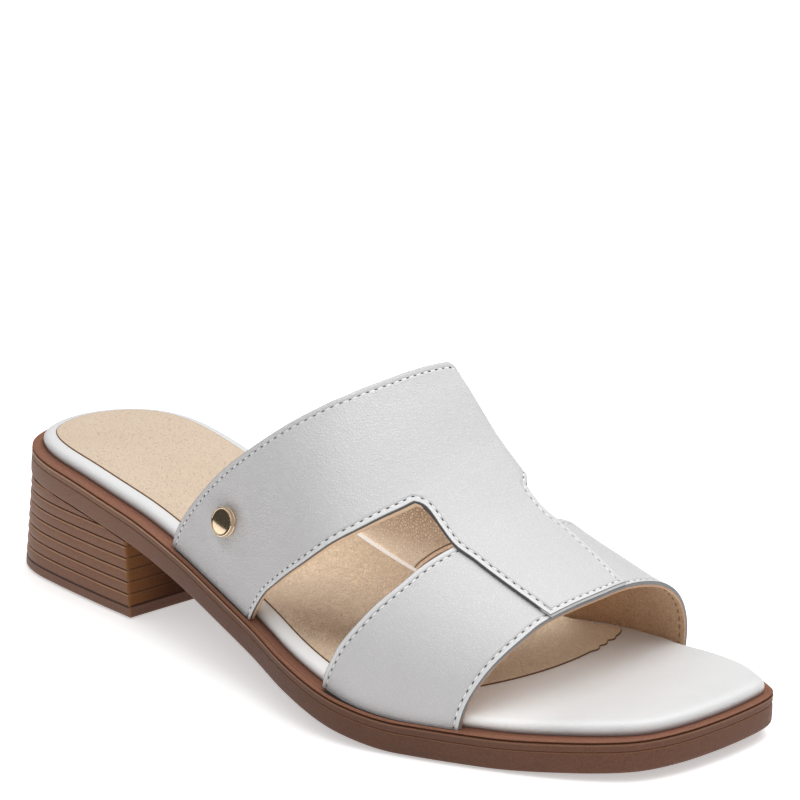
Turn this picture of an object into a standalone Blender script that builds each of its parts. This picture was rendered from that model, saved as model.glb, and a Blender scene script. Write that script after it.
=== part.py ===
"""Block-heeled slide sandal for a right foot: open square toe, H-shaped strap upper, stacked heel.

Sizes are in millimetres on the shoe's own grid and turn into metres when a mesh is made.
x runs from the back of the welt (0) to its tip (250), y runs from the lateral to the medial side
(negative is lateral), and z is the height over the floor.
"""

import math

import bmesh
import bpy
import numpy as np
from mathutils import Matrix, Vector

METRE = 0.001
# Middle of the shoe's bounding box on the shoe's grid.
CENTRE_X = 123.02
CENTRE_Y = -3.83

# Gap kept between pieces that touch on the real shoe.
SEAT = 0.3

# Height of the outsole band's underside over the floor: heel seat, waist, flat tread, toe spring.
UNDERSIDE = (  # x, height
    (0, 31.6), (30, 29.3), (60, 24.4), (90, 18.5), (120, 11.6),
    (150, 5.1), (165, 2.1), (182, 0.0), (204, 0.0), (225, 1.2), (251, 3.1),
)

# Outer edge of the welt in plan, from the back of the heel along the lateral side.
WELT_EDGE = (  # x, y
    (0, 4.5), (1, -6), (5, -15), (13, -21.5), (25, -25.5), (45, -28), (65, -29.7), (85, -33.3),
    (105, -38), (125, -43), (142, -48.3), (157, -51), (170, -50.2), (187, -45), (205, -38),
    (220, -31), (232, -23.7), (240, -16.5), (245.3, -6.5), (248.8, 6), (250.4, 20), (250, 28),
    (245.5, 35), (236, 40), (222, 43), (205, 43.3), (189, 41.5), (176, 36.3), (163, 28.5),
    (149, 23.8), (134, 22.6), (115, 23.6), (95, 26), (75, 29.6), (55, 33.6), (40, 35.3),
    (27, 35), (16, 31.4), (7, 23.3), (1.8, 13.5),
)

# Outsole band: full height, and the shallow groove that runs round its side under the welt.
BAND_HEIGHT = 9.4
BAND_INSET = 0.1
WELT_LIP = 1.0
WELT_CUT_DEPTH = 0.55
WELT_CUT_HEIGHT = 0.5
CUT_SLOPE = 0.1
WELT_ROUND = 0.3
RIB_DROP = 3.2
RIB_DEPTH = 0.35
RIB_HALF = 0.3
TREAD_CHAMFER = 0.9

# Width of welt left bare outside the footbed on each side of the shoe.
LEDGE_LATERAL = 4.8
LEDGE_MEDIAL = 3.7
LEDGE_TOE = 3.1
LEDGE_HEEL = 2.1

# Wrapped footbed with a rolled edge, and the sock glued on it from heel to ball.
FOOTBED_ROLL = (  # inset, height over the welt
    (0.25, 0.3), (0.0, 0.9), (0.15, 1.6), (0.7, 2.4), (1.6, 2.85), (2.9, 3.0),
)
SOCK_INSET = 3.9
SOCK_BASE = 2.6
SOCK_TOP = 3.3
SOCK_FRONT_X = 197.0
SOCK_FRONT_Y = 20.0
SOCK_FRONT_BOW = 172.0

# Block heel: plan inset from the band, backward flare at the floor, front (breast) face.
HEEL_INSET = 0.5
HEEL_FLARE = 5.1
FLARE_REACH = 15.0
FLARE_TOP = 41.0
HEEL_TOP = 37.0
BREAST_X = 60.8
BREAST_Y = -28.3
BREAST_SKEW = 0.16
BREAST_LEAN = 0.04
LIFT_PITCH = 3.8
LIFT_COUNT = 8
LIFT_CUT = 0.45
LIFT_CUT_HALF = 0.35
TOP_PIECE = 3.5
HEEL_CHAMFER = 0.6
SEAT_CUTTER_X = (-20, 80)
SEAT_CUTTER_Y = (-60, 60)

# Upper wall: a rounded arch over the foot at every x. Crown is its height over the welt, ridge is the
# y of its top line, lateral and medial are the half widths at the welt. Shoulder is the power of the
# medial side's rounded corner, where 2 is an ellipse and more is squarer.
ARCH = (  # x, crown, ridge, lateral, medial, shoulder
    (60, 89.5, 5.3, 25.3, 29.5, 2.6),
    (80, 88.5, 5.3, 28.1, 25.6, 2.6),
    (100, 85.3, 5.3, 32.7, 22.2, 2.6),
    (120, 81.8, 9.0, 37.6, 20.2, 2.6),
    (140, 76.8, 12.8, 43.0, 20.3, 2.6),
    (152, 67.2, 15.2, 45.8, 22.6, 2.25),
    (165, 53.4, 16.0, 47.0, 27.8, 1.95),
    (180, 41.5, 11.3, 43.8, 35.4, 2.35),
    (200, 30.8, 7.4, 36.6, 40.2, 2.7),
    (216, 26.2, 4.0, 29.7, 41.2, 2.65),
    (235, 25.5, 3.5, 17.0, 37.0, 2.6),
)
LATERAL_SHOULDER = 2.2

# Strap edges: x of each edge at an angle round the arch, 0 at the lateral welt, 180 at the medial one.
EDGES = (  # angle, rear edge, waist edge, toe strap rear edge, toe strap front edge
    (0, 82.0, 122.5, 156.5, 197.0),
    (3, 84.5, 125.5, 157.6, 197.3),
    (7, 89.0, 129.8, 159.6, 197.8),
    (12, 95.0, 136.3, 161.8, 198.6),
    (20, 104.3, 145.2, 165.6, 200.1),
    (30, 115.8, 152.6, 169.4, 202.0),
    (40, 126.0, 158.2, 172.6, 204.0),
    (50, 134.6, 162.6, 175.2, 205.7),
    (59, 140.5, 166.5, 176.8, 206.9),
    (72, 145.2, 169.4, 179.3, 209.2),
    (86, 147.5, 172.3, 182.0, 211.0),
    (97, 148.6, 175.0, 183.8, 211.6),
    (104, 148.2, 173.0, 184.3, 212.0),
    (112, 146.6, 170.8, 184.4, 212.5),
    (126, 141.5, 168.0, 184.0, 213.0),
    (145, 129.0, 163.5, 182.5, 213.2),
    (168, 106.0, 150.0, 178.0, 213.0),
    (175, 98.5, 142.0, 175.5, 212.7),
    (180, 93.0, 131.0, 172.0, 212.4),
)

# Centre bar of the instep panel: its two side edges as angles round the arch.
BAR_LATERAL = (  # x, angle
    (166.5, 59.0), (168.6, 60.4), (170.5, 60.8), (176.5, 61.3), (184, 63.2), (196, 64.0), (208, 63.2),
)
BAR_MEDIAL = (  # x, angle
    (175, 97.0), (178, 97.2), (182, 97.6), (186, 99.6), (191, 100.6), (200, 99.9), (212, 98.0),
)
BAR_FRONT_PROUD = 0.3

# Leather thickness, and how far the centre bar's lining rises to lie on the toe strap it is sewn on.
PANEL_THICK = 2.1
TOE_STRAP_THICK = 1.5
BAR_LIFT = 0.6
BAR_LIFT_FROM = 154.0
BAR_LIFT_TO = 177.0

# Metal stud near the rear corner of the instep panel.
STUD_X = 109.0
STUD_ANGLE = 12.3
STUD_PROFILE = (  # radius, height
    (0.0, 0.0), (3.9, 0.0), (4.2, 0.35), (4.2, 1.0), (3.9, 1.45), (3.4, 1.6), (3.0, 1.4), (0.0, 1.4),
)

# Mesh fineness, and how strongly the upper's columns gather towards the welt, where the wall turns most.
SOLE_ROWS = 50
HEEL_ROWS = 20
SOCK_COLUMNS = 8
SIDE_COLUMNS = 15
BAR_COLUMNS = 9
PANEL_ROWS = 11
BAR_ROWS = 11
TOE_ROWS = 8
STUD_STEPS = 24
WELT_GATHER = 1.9
SHARP_ANGLE = math.radians(35)


def clear_scene():
    """Remove the objects that a new file starts with."""
    for obj in list(bpy.data.objects):
        bpy.data.objects.remove(obj, do_unlink=True)


def plastic(name, colour, roughness, metallic=0.0):
    """A plain Principled material."""
    material = bpy.data.materials.new(name)
    material.use_nodes = True
    shader = material.node_tree.nodes["Principled BSDF"]
    shader.inputs["Base Color"].default_value = (*colour, 1.0)
    shader.inputs["Roughness"].default_value = roughness
    shader.inputs["Metallic"].default_value = metallic
    material.diffuse_color = (*colour, 1.0)
    return material


def smooth(table, column, at):
    """Column of a table at any key, as a curve that keeps inside its neighbouring rows."""
    keys = np.array([row[0] for row in table], float)
    values = np.array([row[column] for row in table], float)
    gaps = np.diff(keys)
    rises = np.diff(values) / gaps
    slopes = np.zeros(len(keys))
    slopes[0], slopes[-1] = rises[0], rises[-1]
    for i in range(1, len(keys) - 1):
        before, after = rises[i - 1], rises[i]
        if before * after > 0:
            near, far = 2 * gaps[i] + gaps[i - 1], gaps[i] + 2 * gaps[i - 1]
            slopes[i] = (near + far) / (near / before + far / after)
    at = min(max(at, keys[0]), keys[-1])
    i = min(int(np.searchsorted(keys, at, side="right")) - 1, len(gaps) - 1)
    t = (at - keys[i]) / gaps[i]
    return float(
        values[i] * (1 + 2 * t) * (1 - t) ** 2
        + values[i + 1] * t * t * (3 - 2 * t)
        + gaps[i] * (slopes[i] * t * (1 - t) ** 2 - slopes[i + 1] * t * t * (1 - t))
    )


def underside(x):
    """Height of the band's underside."""
    return smooth(UNDERSIDE, 1, x)


def closed_curve(points, steps=16):
    """Dense points of a smooth closed curve through the given ones, with its outward normals."""
    points = np.array(points, float)
    count = len(points)
    reach = np.sqrt(np.linalg.norm(np.roll(points, -1, axis=0) - points, axis=1))
    slopes = (np.roll(points, -1, axis=0) - np.roll(points, 1, axis=0)) / (reach + np.roll(reach, 1))[:, None]
    dense = []
    for i in range(count):
        after = (i + 1) % count
        for step in range(steps):
            t = step / steps
            dense.append(
                points[i] * (1 + 2 * t) * (1 - t) ** 2
                + points[after] * t * t * (3 - 2 * t)
                + reach[i] * (slopes[i] * t * (1 - t) ** 2 - slopes[after] * t * t * (1 - t))
            )
    dense = np.array(dense)
    along = np.roll(dense, -1, axis=0) - np.roll(dense, 1, axis=0)
    along /= np.linalg.norm(along, axis=1)[:, None]
    # The curve runs anticlockwise seen from above, so its right-hand side is outside.
    return dense, np.stack([along[:, 1], -along[:, 0]], axis=1)


RIM, RIM_NORMAL = closed_curve(WELT_EDGE)
RIM_LENGTH = np.concatenate([[0.0], np.cumsum(np.linalg.norm(np.diff(RIM, axis=0, append=RIM[:1]), axis=1))])
RIM_SHARE = RIM_LENGTH / RIM_LENGTH[-1]
TIP_SHARE = float(RIM_SHARE[int(np.argmax(RIM[:, 0]))])


def rim_point(share, inset=0.0, ledge=0.0, flare=0.0):
    """Plan point at a share of the way round the rim, moved in by inset and ledge, out by flare at the back."""
    x, y, nx, ny = (
        np.interp(share, RIM_SHARE, np.append(values, values[0]))
        for values in (RIM[:, 0], RIM[:, 1], RIM_NORMAL[:, 0], RIM_NORMAL[:, 1])
    )
    width = (
        LEDGE_LATERAL * max(-ny, 0) ** 2
        + LEDGE_MEDIAL * max(ny, 0) ** 2
        + LEDGE_TOE * max(nx, 0) ** 2
        + LEDGE_HEEL * max(-nx, 0) ** 2
    )
    move = flare * math.exp(-((x / FLARE_REACH) ** 2)) - inset - ledge * width
    return x + nx * move, y + ny * move


def flare_at(z):
    """Backward flare of the heel's wall at a height."""
    return HEEL_FLARE * (FLARE_TOP - z) / FLARE_TOP


def sole_section(inset, ledge, rise):
    """Level of the sole, as a function of the share from heel to toe (u) and across (v)."""

    def place(u, v):
        flare = flare_at(underside(0) + rise) if not ledge else 0.0
        left = rim_point(u * TIP_SHARE, inset, ledge, flare)
        right = rim_point(1 - u * (1 - TIP_SHARE), inset, ledge, flare)
        x = left[0] + (right[0] - left[0]) * v
        return x, left[1] + (right[1] - left[1]) * v, underside(x) + rise

    return place


def cut_shares(front, inset, ledge, flare):
    """Shares round the rim, lateral and medial, where the moved rim crosses the line x = front(y)."""
    found = []
    for start, end in ((0.0, TIP_SHARE), (1.0, TIP_SHARE)):
        low, high = start, end
        for _ in range(30):
            middle = (low + high) / 2
            x, y = rim_point(middle, inset, ledge, flare)
            if x < front(y):
                low = middle
            else:
                high = middle
        found.append(low)
    return found


def cut_section(front, inset, ledge, flare, height):
    """Level of a piece that ends at the line x = front(y): u runs from the back to that line."""
    lateral, medial = cut_shares(front, inset, ledge, flare)

    def place(u, v):
        left = rim_point(u * lateral, inset, ledge, flare)
        right = rim_point(1 - u * (1 - medial), inset, ledge, flare)
        y = left[1] + (right[1] - left[1]) * v
        x = left[0] + (right[0] - left[0]) * v
        if math.isclose(u, 1.0, abs_tol=1e-4):
            x = front(y)
        return x, y, height(x)

    return place


def heel_section(z, inset):
    """Level of the heel block at a height."""

    def breast(y):
        return BREAST_X + BREAST_SKEW * (y - BREAST_Y) - BREAST_LEAN * z

    return cut_section(breast, HEEL_INSET + inset, 0.0, flare_at(z), lambda x: z)


def to_world(x, y, z):
    """Point in metres from the shoe's grid."""
    return Vector(((x - CENTRE_X) * METRE, (y - CENTRE_Y) * METRE, z * METRE))


def finish(bm, name, material):
    """New object from a bmesh, shaded smooth between its sharp edges."""
    bmesh.ops.recalc_face_normals(bm, faces=bm.faces)
    mesh = bpy.data.meshes.new(name)
    bm.to_mesh(mesh)
    bm.free()
    mesh.materials.append(material)
    mesh.shade_smooth()
    mesh.set_sharp_from_angle(angle=SHARP_ANGLE)
    obj = bpy.data.objects.new(name, mesh)
    bpy.context.scene.collection.objects.link(obj)
    return obj


def stack(name, material, rows, columns, sections):
    """Solid swept upwards through sections, each a place for every share along and across."""
    bm = bmesh.new()
    share = bm.verts.layers.float_vector.new("share")
    bmesh.ops.create_grid(bm, x_segments=rows, y_segments=columns, size=0.5)
    for vert in bm.verts:
        vert[share] = (vert.co.x + 0.5, vert.co.y + 0.5, 0)
    for vert in bm.verts:
        vert.co = to_world(*sections[0](vert[share][0], vert[share][1]))
    top = list(bm.faces)
    for section in sections[1:]:
        edges = {edge for face in top for edge in face.edges}
        verts = {vert for face in top for vert in face.verts}
        grown = bmesh.ops.extrude_face_region(bm, geom=top + list(edges) + list(verts))["geom"]
        top = [item for item in grown if isinstance(item, bmesh.types.BMFace)]
        for vert in (item for item in grown if isinstance(item, bmesh.types.BMVert)):
            vert.co = to_world(*section(vert[share][0], vert[share][1]))
    return finish(bm, name, material)


def arch_point(x, angle, lift):
    """Point of the upper's wall, lift outside its lining face."""
    crown, ridge, lateral, medial, shoulder = (smooth(ARCH, column, x) for column in range(1, 6))
    turn = math.radians(angle)
    cosine, sine = math.cos(turn), max(math.sin(turn), 0.0)
    half, power = (lateral + ridge, LATERAL_SHOULDER) if cosine > 0 else (medial - ridge, shoulder)
    y = ridge - math.copysign((half + lift) * abs(cosine) ** (2 / power), cosine)
    z = underside(x) + BAND_HEIGHT + SEAT + (crown + lift - SEAT) * sine ** (2 / power)
    return x, y, z


def bar_lift(x):
    """How far the instep panel has risen to pass over the toe strap."""
    t = min(max((x - BAR_LIFT_FROM) / (BAR_LIFT_TO - BAR_LIFT_FROM), 0.0), 1.0)
    return BAR_LIFT * t * t * (3 - 2 * t)


def eased_angles(first, last, count, ease_first, ease_last):
    """Angles from first to last, closer together at an end that meets the welt."""
    angles = []
    for i in range(count + 1):
        t = i / count
        if ease_first:
            t = t**WELT_GATHER
        if ease_last:
            t = 1 - (1 - t) ** WELT_GATHER
        angles.append(first + (last - first) * t)
    return angles


def shell(bm, spot, name, material, inner, outer):
    """Wall between two lifts over a flat layout of (x, angle) spots."""
    grown = bmesh.ops.extrude_face_region(bm, geom=list(bm.faces))["geom"]
    raised = {item for item in grown if isinstance(item, bmesh.types.BMVert)}
    for vert in bm.verts:
        x, angle = vert[spot][0], vert[spot][1]
        vert.co = to_world(*arch_point(x, angle, outer(x) if vert in raised else inner(x)))
    return finish(bm, name, material)


def grid_spots(bm, spot, angles, rows, low, high):
    """Grid whose columns follow the angles and whose rows run between two strap edges."""
    columns = len(angles) - 1
    bmesh.ops.create_grid(bm, x_segments=columns, y_segments=rows, size=0.5)
    for vert in bm.verts:
        angle = angles[round((vert.co.x + 0.5) * columns)]
        start, end = smooth(EDGES, low, angle), smooth(EDGES, high, angle)
        vert[spot] = (start + (end - start) * (vert.co.y + 0.5), angle, 0)
        vert.co = (vert.co.x, vert.co.y, 0)


def make_instep_panel(material):
    """Broad instep strap with the centre bar that reaches the toe edge."""
    bm = bmesh.new()
    spot = bm.verts.layers.float_vector.new("spot")
    root = (BAR_LATERAL[0][1], BAR_MEDIAL[0][1])
    lateral = eased_angles(0.0, root[0], SIDE_COLUMNS, True, False)
    middle = eased_angles(root[0], root[1], BAR_COLUMNS, False, False)
    medial = eased_angles(root[1], 180.0, SIDE_COLUMNS, False, True)
    grid_spots(bm, spot, lateral + middle[1:] + medial[1:], PANEL_ROWS, 1, 2)
    waist = [
        vert
        for vert in bm.verts
        if math.isclose(vert.co.y, 0.5, abs_tol=1e-4) and root[0] - 0.01 < vert[spot][1] < root[1] + 0.01
    ]
    row = [edge for edge in bm.edges if all(vert in waist for vert in edge.verts)]
    for step in range(1, BAR_ROWS + 1):
        grown = bmesh.ops.extrude_edge_only(bm, edges=row)["geom"]
        row = [item for item in grown if isinstance(item, bmesh.types.BMEdge)]
        for vert in (item for item in grown if isinstance(item, bmesh.types.BMVert)):
            column = (vert.co.x + 0.5) * (2 * SIDE_COLUMNS + BAR_COLUMNS)
            vert[spot] = bar_spot((column - SIDE_COLUMNS) / BAR_COLUMNS, step / BAR_ROWS, root)
    return shell(bm, spot, "upper", material, bar_lift, lambda x: PANEL_THICK + bar_lift(x))


def bar_spot(across, along, root):
    """Spot on the centre bar, across it from the lateral edge and along it from the panel's waist."""
    angle = root[0] + (root[1] - root[0]) * across
    for _ in range(3):
        start = smooth(EDGES, 2, root[0] + (root[1] - root[0]) * across)
        end = smooth(EDGES, 4, angle) + BAR_FRONT_PROUD
        x = start + (end - start) * along
        lateral = smooth(BAR_LATERAL, 1, x)
        medial = smooth(BAR_MEDIAL, 1, x)
        angle = lateral + (medial - lateral) * across
    return (x, angle, 0)


def make_toe_strap(material):
    """Toe strap, whole from side to side under the centre bar."""
    bm = bmesh.new()
    spot = bm.verts.layers.float_vector.new("spot")
    lateral = eased_angles(0.0, 90.0, SIDE_COLUMNS + 4, True, False)
    medial = eased_angles(90.0, 180.0, SIDE_COLUMNS + 4, False, True)
    grid_spots(bm, spot, lateral + medial[1:], TOE_ROWS, 3, 4)
    return shell(bm, spot, "toe_strap_guide", material, lambda x: 0.0, lambda x: TOE_STRAP_THICK)


def boolean(obj, other, operation):
    """Join or cut with another object, which then stays as a hidden guide."""
    modifier = obj.modifiers.new(operation.title(), "BOOLEAN")
    modifier.operation = operation
    modifier.solver = "EXACT"
    modifier.object = other
    other.hide_render = True
    other.display_type = "WIRE"


def make_upper(material):
    """The H-shaped upper: instep panel and toe strap joined where the bar lies on the strap."""
    upper = make_instep_panel(material)
    boolean(upper, make_toe_strap(material), "UNION")
    return upper


def make_outsole(material):
    """Outsole band with its tread edge, side rib line and welt lip."""
    top = BAND_HEIGHT
    lip = top - WELT_LIP
    rib = top - RIB_DROP
    levels = (  # inset, rise
        (TREAD_CHAMFER, 0.0),
        (BAND_INSET, TREAD_CHAMFER),
        (BAND_INSET, rib - 2 * RIB_HALF),
        (BAND_INSET + RIB_DEPTH, rib - RIB_HALF),
        (BAND_INSET, rib),
        (BAND_INSET, lip - WELT_CUT_HEIGHT - CUT_SLOPE),
        (WELT_CUT_DEPTH, lip - WELT_CUT_HEIGHT),
        (WELT_CUT_DEPTH, lip),
        (0.0, lip + CUT_SLOPE),
        (0.0, top - WELT_ROUND),
        (WELT_ROUND, top),
    )
    sections = [sole_section(inset, 0.0, rise) for inset, rise in levels]
    return stack("outsole", material, SOLE_ROWS, 1, sections)


def sock_sections(grow, low, high):
    """Two levels of the sock's shape, from the heel to a bowed front end, grown all round in plan."""

    def front(y):
        return SOCK_FRONT_X + grow - (y - SOCK_FRONT_Y) ** 2 / SOCK_FRONT_BOW

    return [
        cut_section(front, SOCK_INSET - grow, 1.0, 0.0, lambda x, rise=BAND_HEIGHT + rise: underside(x) + rise)
        for rise in (low, high)
    ]


def make_footbed(material):
    """Wrapped footbed with a rolled edge, seated on the welt, with a shallow bed for the sock."""
    sections = [sole_section(inset, 1.0, BAND_HEIGHT + height) for inset, height in FOOTBED_ROLL]
    footbed = stack("footbed", material, SOLE_ROWS, 1, sections)
    bed = sock_sections(SEAT, SOCK_BASE - SEAT, SOCK_TOP + 1)
    boolean(footbed, stack("sock_bed_cutter", material, SOLE_ROWS, SOCK_COLUMNS, bed), "DIFFERENCE")
    return footbed


def make_sock(material):
    """Thin leather sock from the heel to the ball of the foot, let into the footbed."""
    return stack("sock", material, SOLE_ROWS, SOCK_COLUMNS, sock_sections(0.0, SOCK_BASE, SOCK_TOP))


def make_heel_block(material):
    """Stacked heel with a cut line at every lift, trimmed to the band's underside."""
    levels = [(TOP_PIECE + SEAT, 0.0)]
    for lift in range(2, LIFT_COUNT + 1):
        z = lift * LIFT_PITCH
        levels += [(z - LIFT_CUT_HALF, 0.0), (z, LIFT_CUT), (z + LIFT_CUT_HALF, 0.0)]
    levels.append((HEEL_TOP, 0.0))
    block = stack("heel_block", material, HEEL_ROWS, 1, [heel_section(z, inset) for z, inset in levels])
    boolean(block, make_seat_cutter(material), "DIFFERENCE")
    return block


def make_seat_cutter(material):
    """Block above the band's underside, which shapes the top of the heel."""

    def level(height):
        def place(u, v):
            x = SEAT_CUTTER_X[0] + (SEAT_CUTTER_X[1] - SEAT_CUTTER_X[0]) * u
            y = SEAT_CUTTER_Y[0] + (SEAT_CUTTER_Y[1] - SEAT_CUTTER_Y[0]) * v
            return x, y, height(x)

        return place

    sections = [level(lambda x: underside(x) - SEAT), level(lambda x: FLARE_TOP + 10)]
    return stack("heel_seat_cutter", material, HEEL_ROWS, 1, sections)


def make_top_piece(material):
    """Wear piece under the heel."""
    levels = ((0.0, HEEL_CHAMFER), (HEEL_CHAMFER, 0.0), (TOP_PIECE, 0.0))
    return stack("heel_top_piece", material, HEEL_ROWS, 1, [heel_section(z, inset) for z, inset in levels])


def make_stud(material):
    """Metal stud with a raised rim, standing square on the leather."""
    bm = bmesh.new()
    verts = [bm.verts.new((radius * METRE, 0, rise * METRE)) for radius, rise in STUD_PROFILE]
    for first, second in zip(verts, verts[1:]):
        bm.edges.new((first, second))
    bmesh.ops.spin(
        bm, geom=verts + list(bm.edges), cent=(0, 0, 0), axis=(0, 0, 1),
        angle=math.tau, steps=STUD_STEPS, use_merge=True,
    )
    bmesh.ops.remove_doubles(bm, verts=bm.verts, dist=1e-6)
    obj = finish(bm, "stud", material)
    lift = PANEL_THICK + SEAT
    spot = to_world(*arch_point(STUD_X, STUD_ANGLE, lift))
    along = to_world(*arch_point(STUD_X + 0.5, STUD_ANGLE, lift)) - spot
    round_foot = to_world(*arch_point(STUD_X, STUD_ANGLE + 0.5, lift)) - spot
    normal = along.cross(round_foot).normalized()
    if normal.y > 0:
        normal.negate()
    obj.matrix_world = Matrix.Translation(spot) @ normal.to_track_quat("Z", "Y").to_matrix().to_4x4()
    return obj


def main():
    """Build the sandal."""
    clear_scene()
    brown = (0.17, 0.085, 0.055)
    make_outsole(plastic("outsole", brown, 0.5))
    make_heel_block(plastic("heel_block", brown, 0.5))
    make_top_piece(plastic("heel_top_piece", (0.15, 0.075, 0.05), 0.6))
    make_footbed(plastic("footbed", (0.85, 0.85, 0.86), 0.45))
    make_sock(plastic("sock", (0.72, 0.57, 0.42), 0.6))
    make_upper(plastic("upper", (0.66, 0.66, 0.68), 0.45))
    make_stud(plastic("stud", (0.83, 0.66, 0.45), 0.2, 1.0))


main()
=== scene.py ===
"""Looks of a block-heeled slide sandal for a right foot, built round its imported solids.

Sizes are in millimetres on the shoe's own grid and turn into metres when a mesh is made.
x runs from the back of the welt (0) to its tip (250), y from the lateral to the medial side
(negative is lateral), and z is the height over the floor. A spot on the upper is an x and an
angle round the foot, 0 at the lateral welt and 180 at the medial one. Finishes read Object
coordinates, which start from the middle of the grid.
"""

import math

import bmesh
import bpy
import numpy as np
from mathutils import Matrix, Vector
from mathutils.kdtree import KDTree


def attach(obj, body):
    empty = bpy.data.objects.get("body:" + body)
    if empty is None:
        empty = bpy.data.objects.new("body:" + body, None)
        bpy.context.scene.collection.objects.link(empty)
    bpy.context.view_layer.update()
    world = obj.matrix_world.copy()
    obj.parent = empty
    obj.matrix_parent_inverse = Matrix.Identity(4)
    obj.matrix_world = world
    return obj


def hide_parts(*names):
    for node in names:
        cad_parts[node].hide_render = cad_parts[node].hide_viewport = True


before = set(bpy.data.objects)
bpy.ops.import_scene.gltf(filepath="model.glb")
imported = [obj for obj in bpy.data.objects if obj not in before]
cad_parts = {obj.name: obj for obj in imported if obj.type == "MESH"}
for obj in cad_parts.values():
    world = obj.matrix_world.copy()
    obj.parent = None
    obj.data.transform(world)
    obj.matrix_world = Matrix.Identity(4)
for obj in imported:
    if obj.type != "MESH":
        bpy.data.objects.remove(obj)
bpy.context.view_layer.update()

METRE = 0.001
GRID_MIDDLE = (123.02, -3.83, 0)
TOUCH = 0.05
WELT_GAP = -0.3
NUDGE = 0.05

# ---- the shoe's shape tables

UNDERSIDE = (  # x, height
    (0, 31.6), (30, 29.3), (60, 24.4), (90, 18.5), (120, 11.6),
    (150, 5.1), (165, 2.1), (182, 0.0), (204, 0.0), (225, 1.2), (251, 3.1),
)
WELT_EDGE = (  # x, y
    (0, 4.5), (1, -6), (5, -15), (13, -21.5), (25, -25.5), (45, -28), (65, -29.7), (85, -33.3),
    (105, -38), (125, -43), (142, -48.3), (157, -51), (170, -50.2), (187, -45), (205, -38),
    (220, -31), (232, -23.7), (240, -16.5), (245.3, -6.5), (248.8, 6), (250.5, 17), (250.9, 24),
    (250.3, 28.2), (248.7, 30.8), (246.2, 32.7), (243.6, 34.4), (240, 36.7), (235, 39.2),
    (222, 42.3), (205, 43.2), (189, 41.6), (176, 36.3), (163, 28.5), (149, 23.8), (134, 22.5),
    (115, 23.3), (95, 25.4), (75, 28.8), (55, 32.7), (40, 34.4), (27, 34.5), (16, 31.2),
    (7, 23.3), (1.8, 13.5),
)
LEDGE_LATERAL = 4.8
LEDGE_MEDIAL = 2.9
LEDGE_TOE = 2.9
LEDGE_CORNER = 1.0
LEDGE_HEEL = 2.1
SHELF_STEPS = 1200
SHELF_SOFT = 2.6

# Outline of the moulded band: its top from the inner side of the welt outwards, then its side downwards.
BAND_HEIGHT = 9.4
WELT_TOP = (  # inset, drop
    (4.0, 0.35), (2.9, 0.35), (2.3, 0.3), (1.7, 0.2), (1.1, 0.08), (0.6, 0.01), (0.3, 0.04),
)
BAND_SIDE = (  # inset, drop
    (0.12, 0.14), (0.05, 0.26), (0.12, 0.34), (0.42, 0.4), (0.5, 0.55), (0.46, 0.72), (0.16, 0.8),
    (0.03, 0.9), (0.0, 1.1), (0.02, 1.35), (0.1, 1.6), (0.06, 2.2), (0.1, 2.75), (0.16, 2.95),
    (0.3, 3.03), (0.33, 3.12), (0.2, 3.2), (0.12, 3.35), (0.08, 3.8), (0.04, 5.2), (0.06, 7.0),
    (0.12, 8.2), (0.25, 8.75), (0.5, 9.1), (0.9, 9.32), (1.4, 9.4), (4.0, 9.4),
)
FOOT_REAR = 1.8  # how far inside a strap's edges the painted shadow at its foot starts and ends
FOOT_FRONT = 1.5

FOOTBED_ROLL = (  # inset, height over the welt
    (0.35, -0.36), (0.2, -0.15), (0.08, 0.15), (0.02, 0.5), (0.0, 0.85), (0.04, 1.25),
    (0.16, 1.6), (0.38, 1.98), (0.7, 2.33), (1.1, 2.6), (1.6, 2.8), (2.2, 2.93), (2.9, 3.0),
    (3.6, 3.03), (4.4, 3.05),
)
PRESSED_ROLL = 0.2
PRESSED_ZONE = (164.0, 172.0, 206.0, 214.0)
PRESSED_FROM_Y = 10.0
TOE_SWELL = 0.14
TOE_SWELL_ZONE = (200.0, 236.0)

SOCK_SIDE = (  # inset, height over the welt
    (0.0, 2.4), (0.0, 3.2), (0.06, 3.32), (0.16, 3.38), (0.35, 3.4), (1.0, 3.4),
)
SOCK_INSET = 3.9
SOCK_SPREAD = -0.5
SOCK_SPREAD_ZONE = (166.0, 177.0)
SOCK_FRONT_X = 197.25
SOCK_FRONT_Y = 17.5
SOCK_FRONT_BOW = 159.0
SOCK_TIP_Y = 38.9
SOCK_TIP_ROUND = 7.0
PINK_FROM = 18.7
PINK_PITCH = 4.5
PINK_DEPTH = 0.95
PINK_DROP = 0.13
PINK_ZONE = (18.1, 18.8, 29.4, 33.0)

HEEL_INSET = 0.5
HEEL_FLARE = 5.1
FLARE_REACH = 15.0
FLARE_TOP = 41.0
BREAST_X = 60.8
BREAST_Y = -28.3
BREAST_SKEW = 0.16
BREAST_LEAN = 0.04
BREAST_HEIGHTS = (0.0, 20.0, 40.0)
LIFT_PITCH = 3.8
LIFT_COUNT = 9
LIFT_CUT = 0.42
LIFT_CUT_ZONE = (-0.42, -0.12, 0.0, 0.26)
FIRST_CUT = LIFT_PITCH * 1.5
LIFT_BELLY = 0.12
# Heights of the rows about the line between two lifts.
LIFT_ROWS = (-0.9, -0.5, -0.36, -0.24, -0.12, 0.0, 0.09, 0.18, 0.28, 0.6, 1.6)
TOP_PIECE = 3.45

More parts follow.
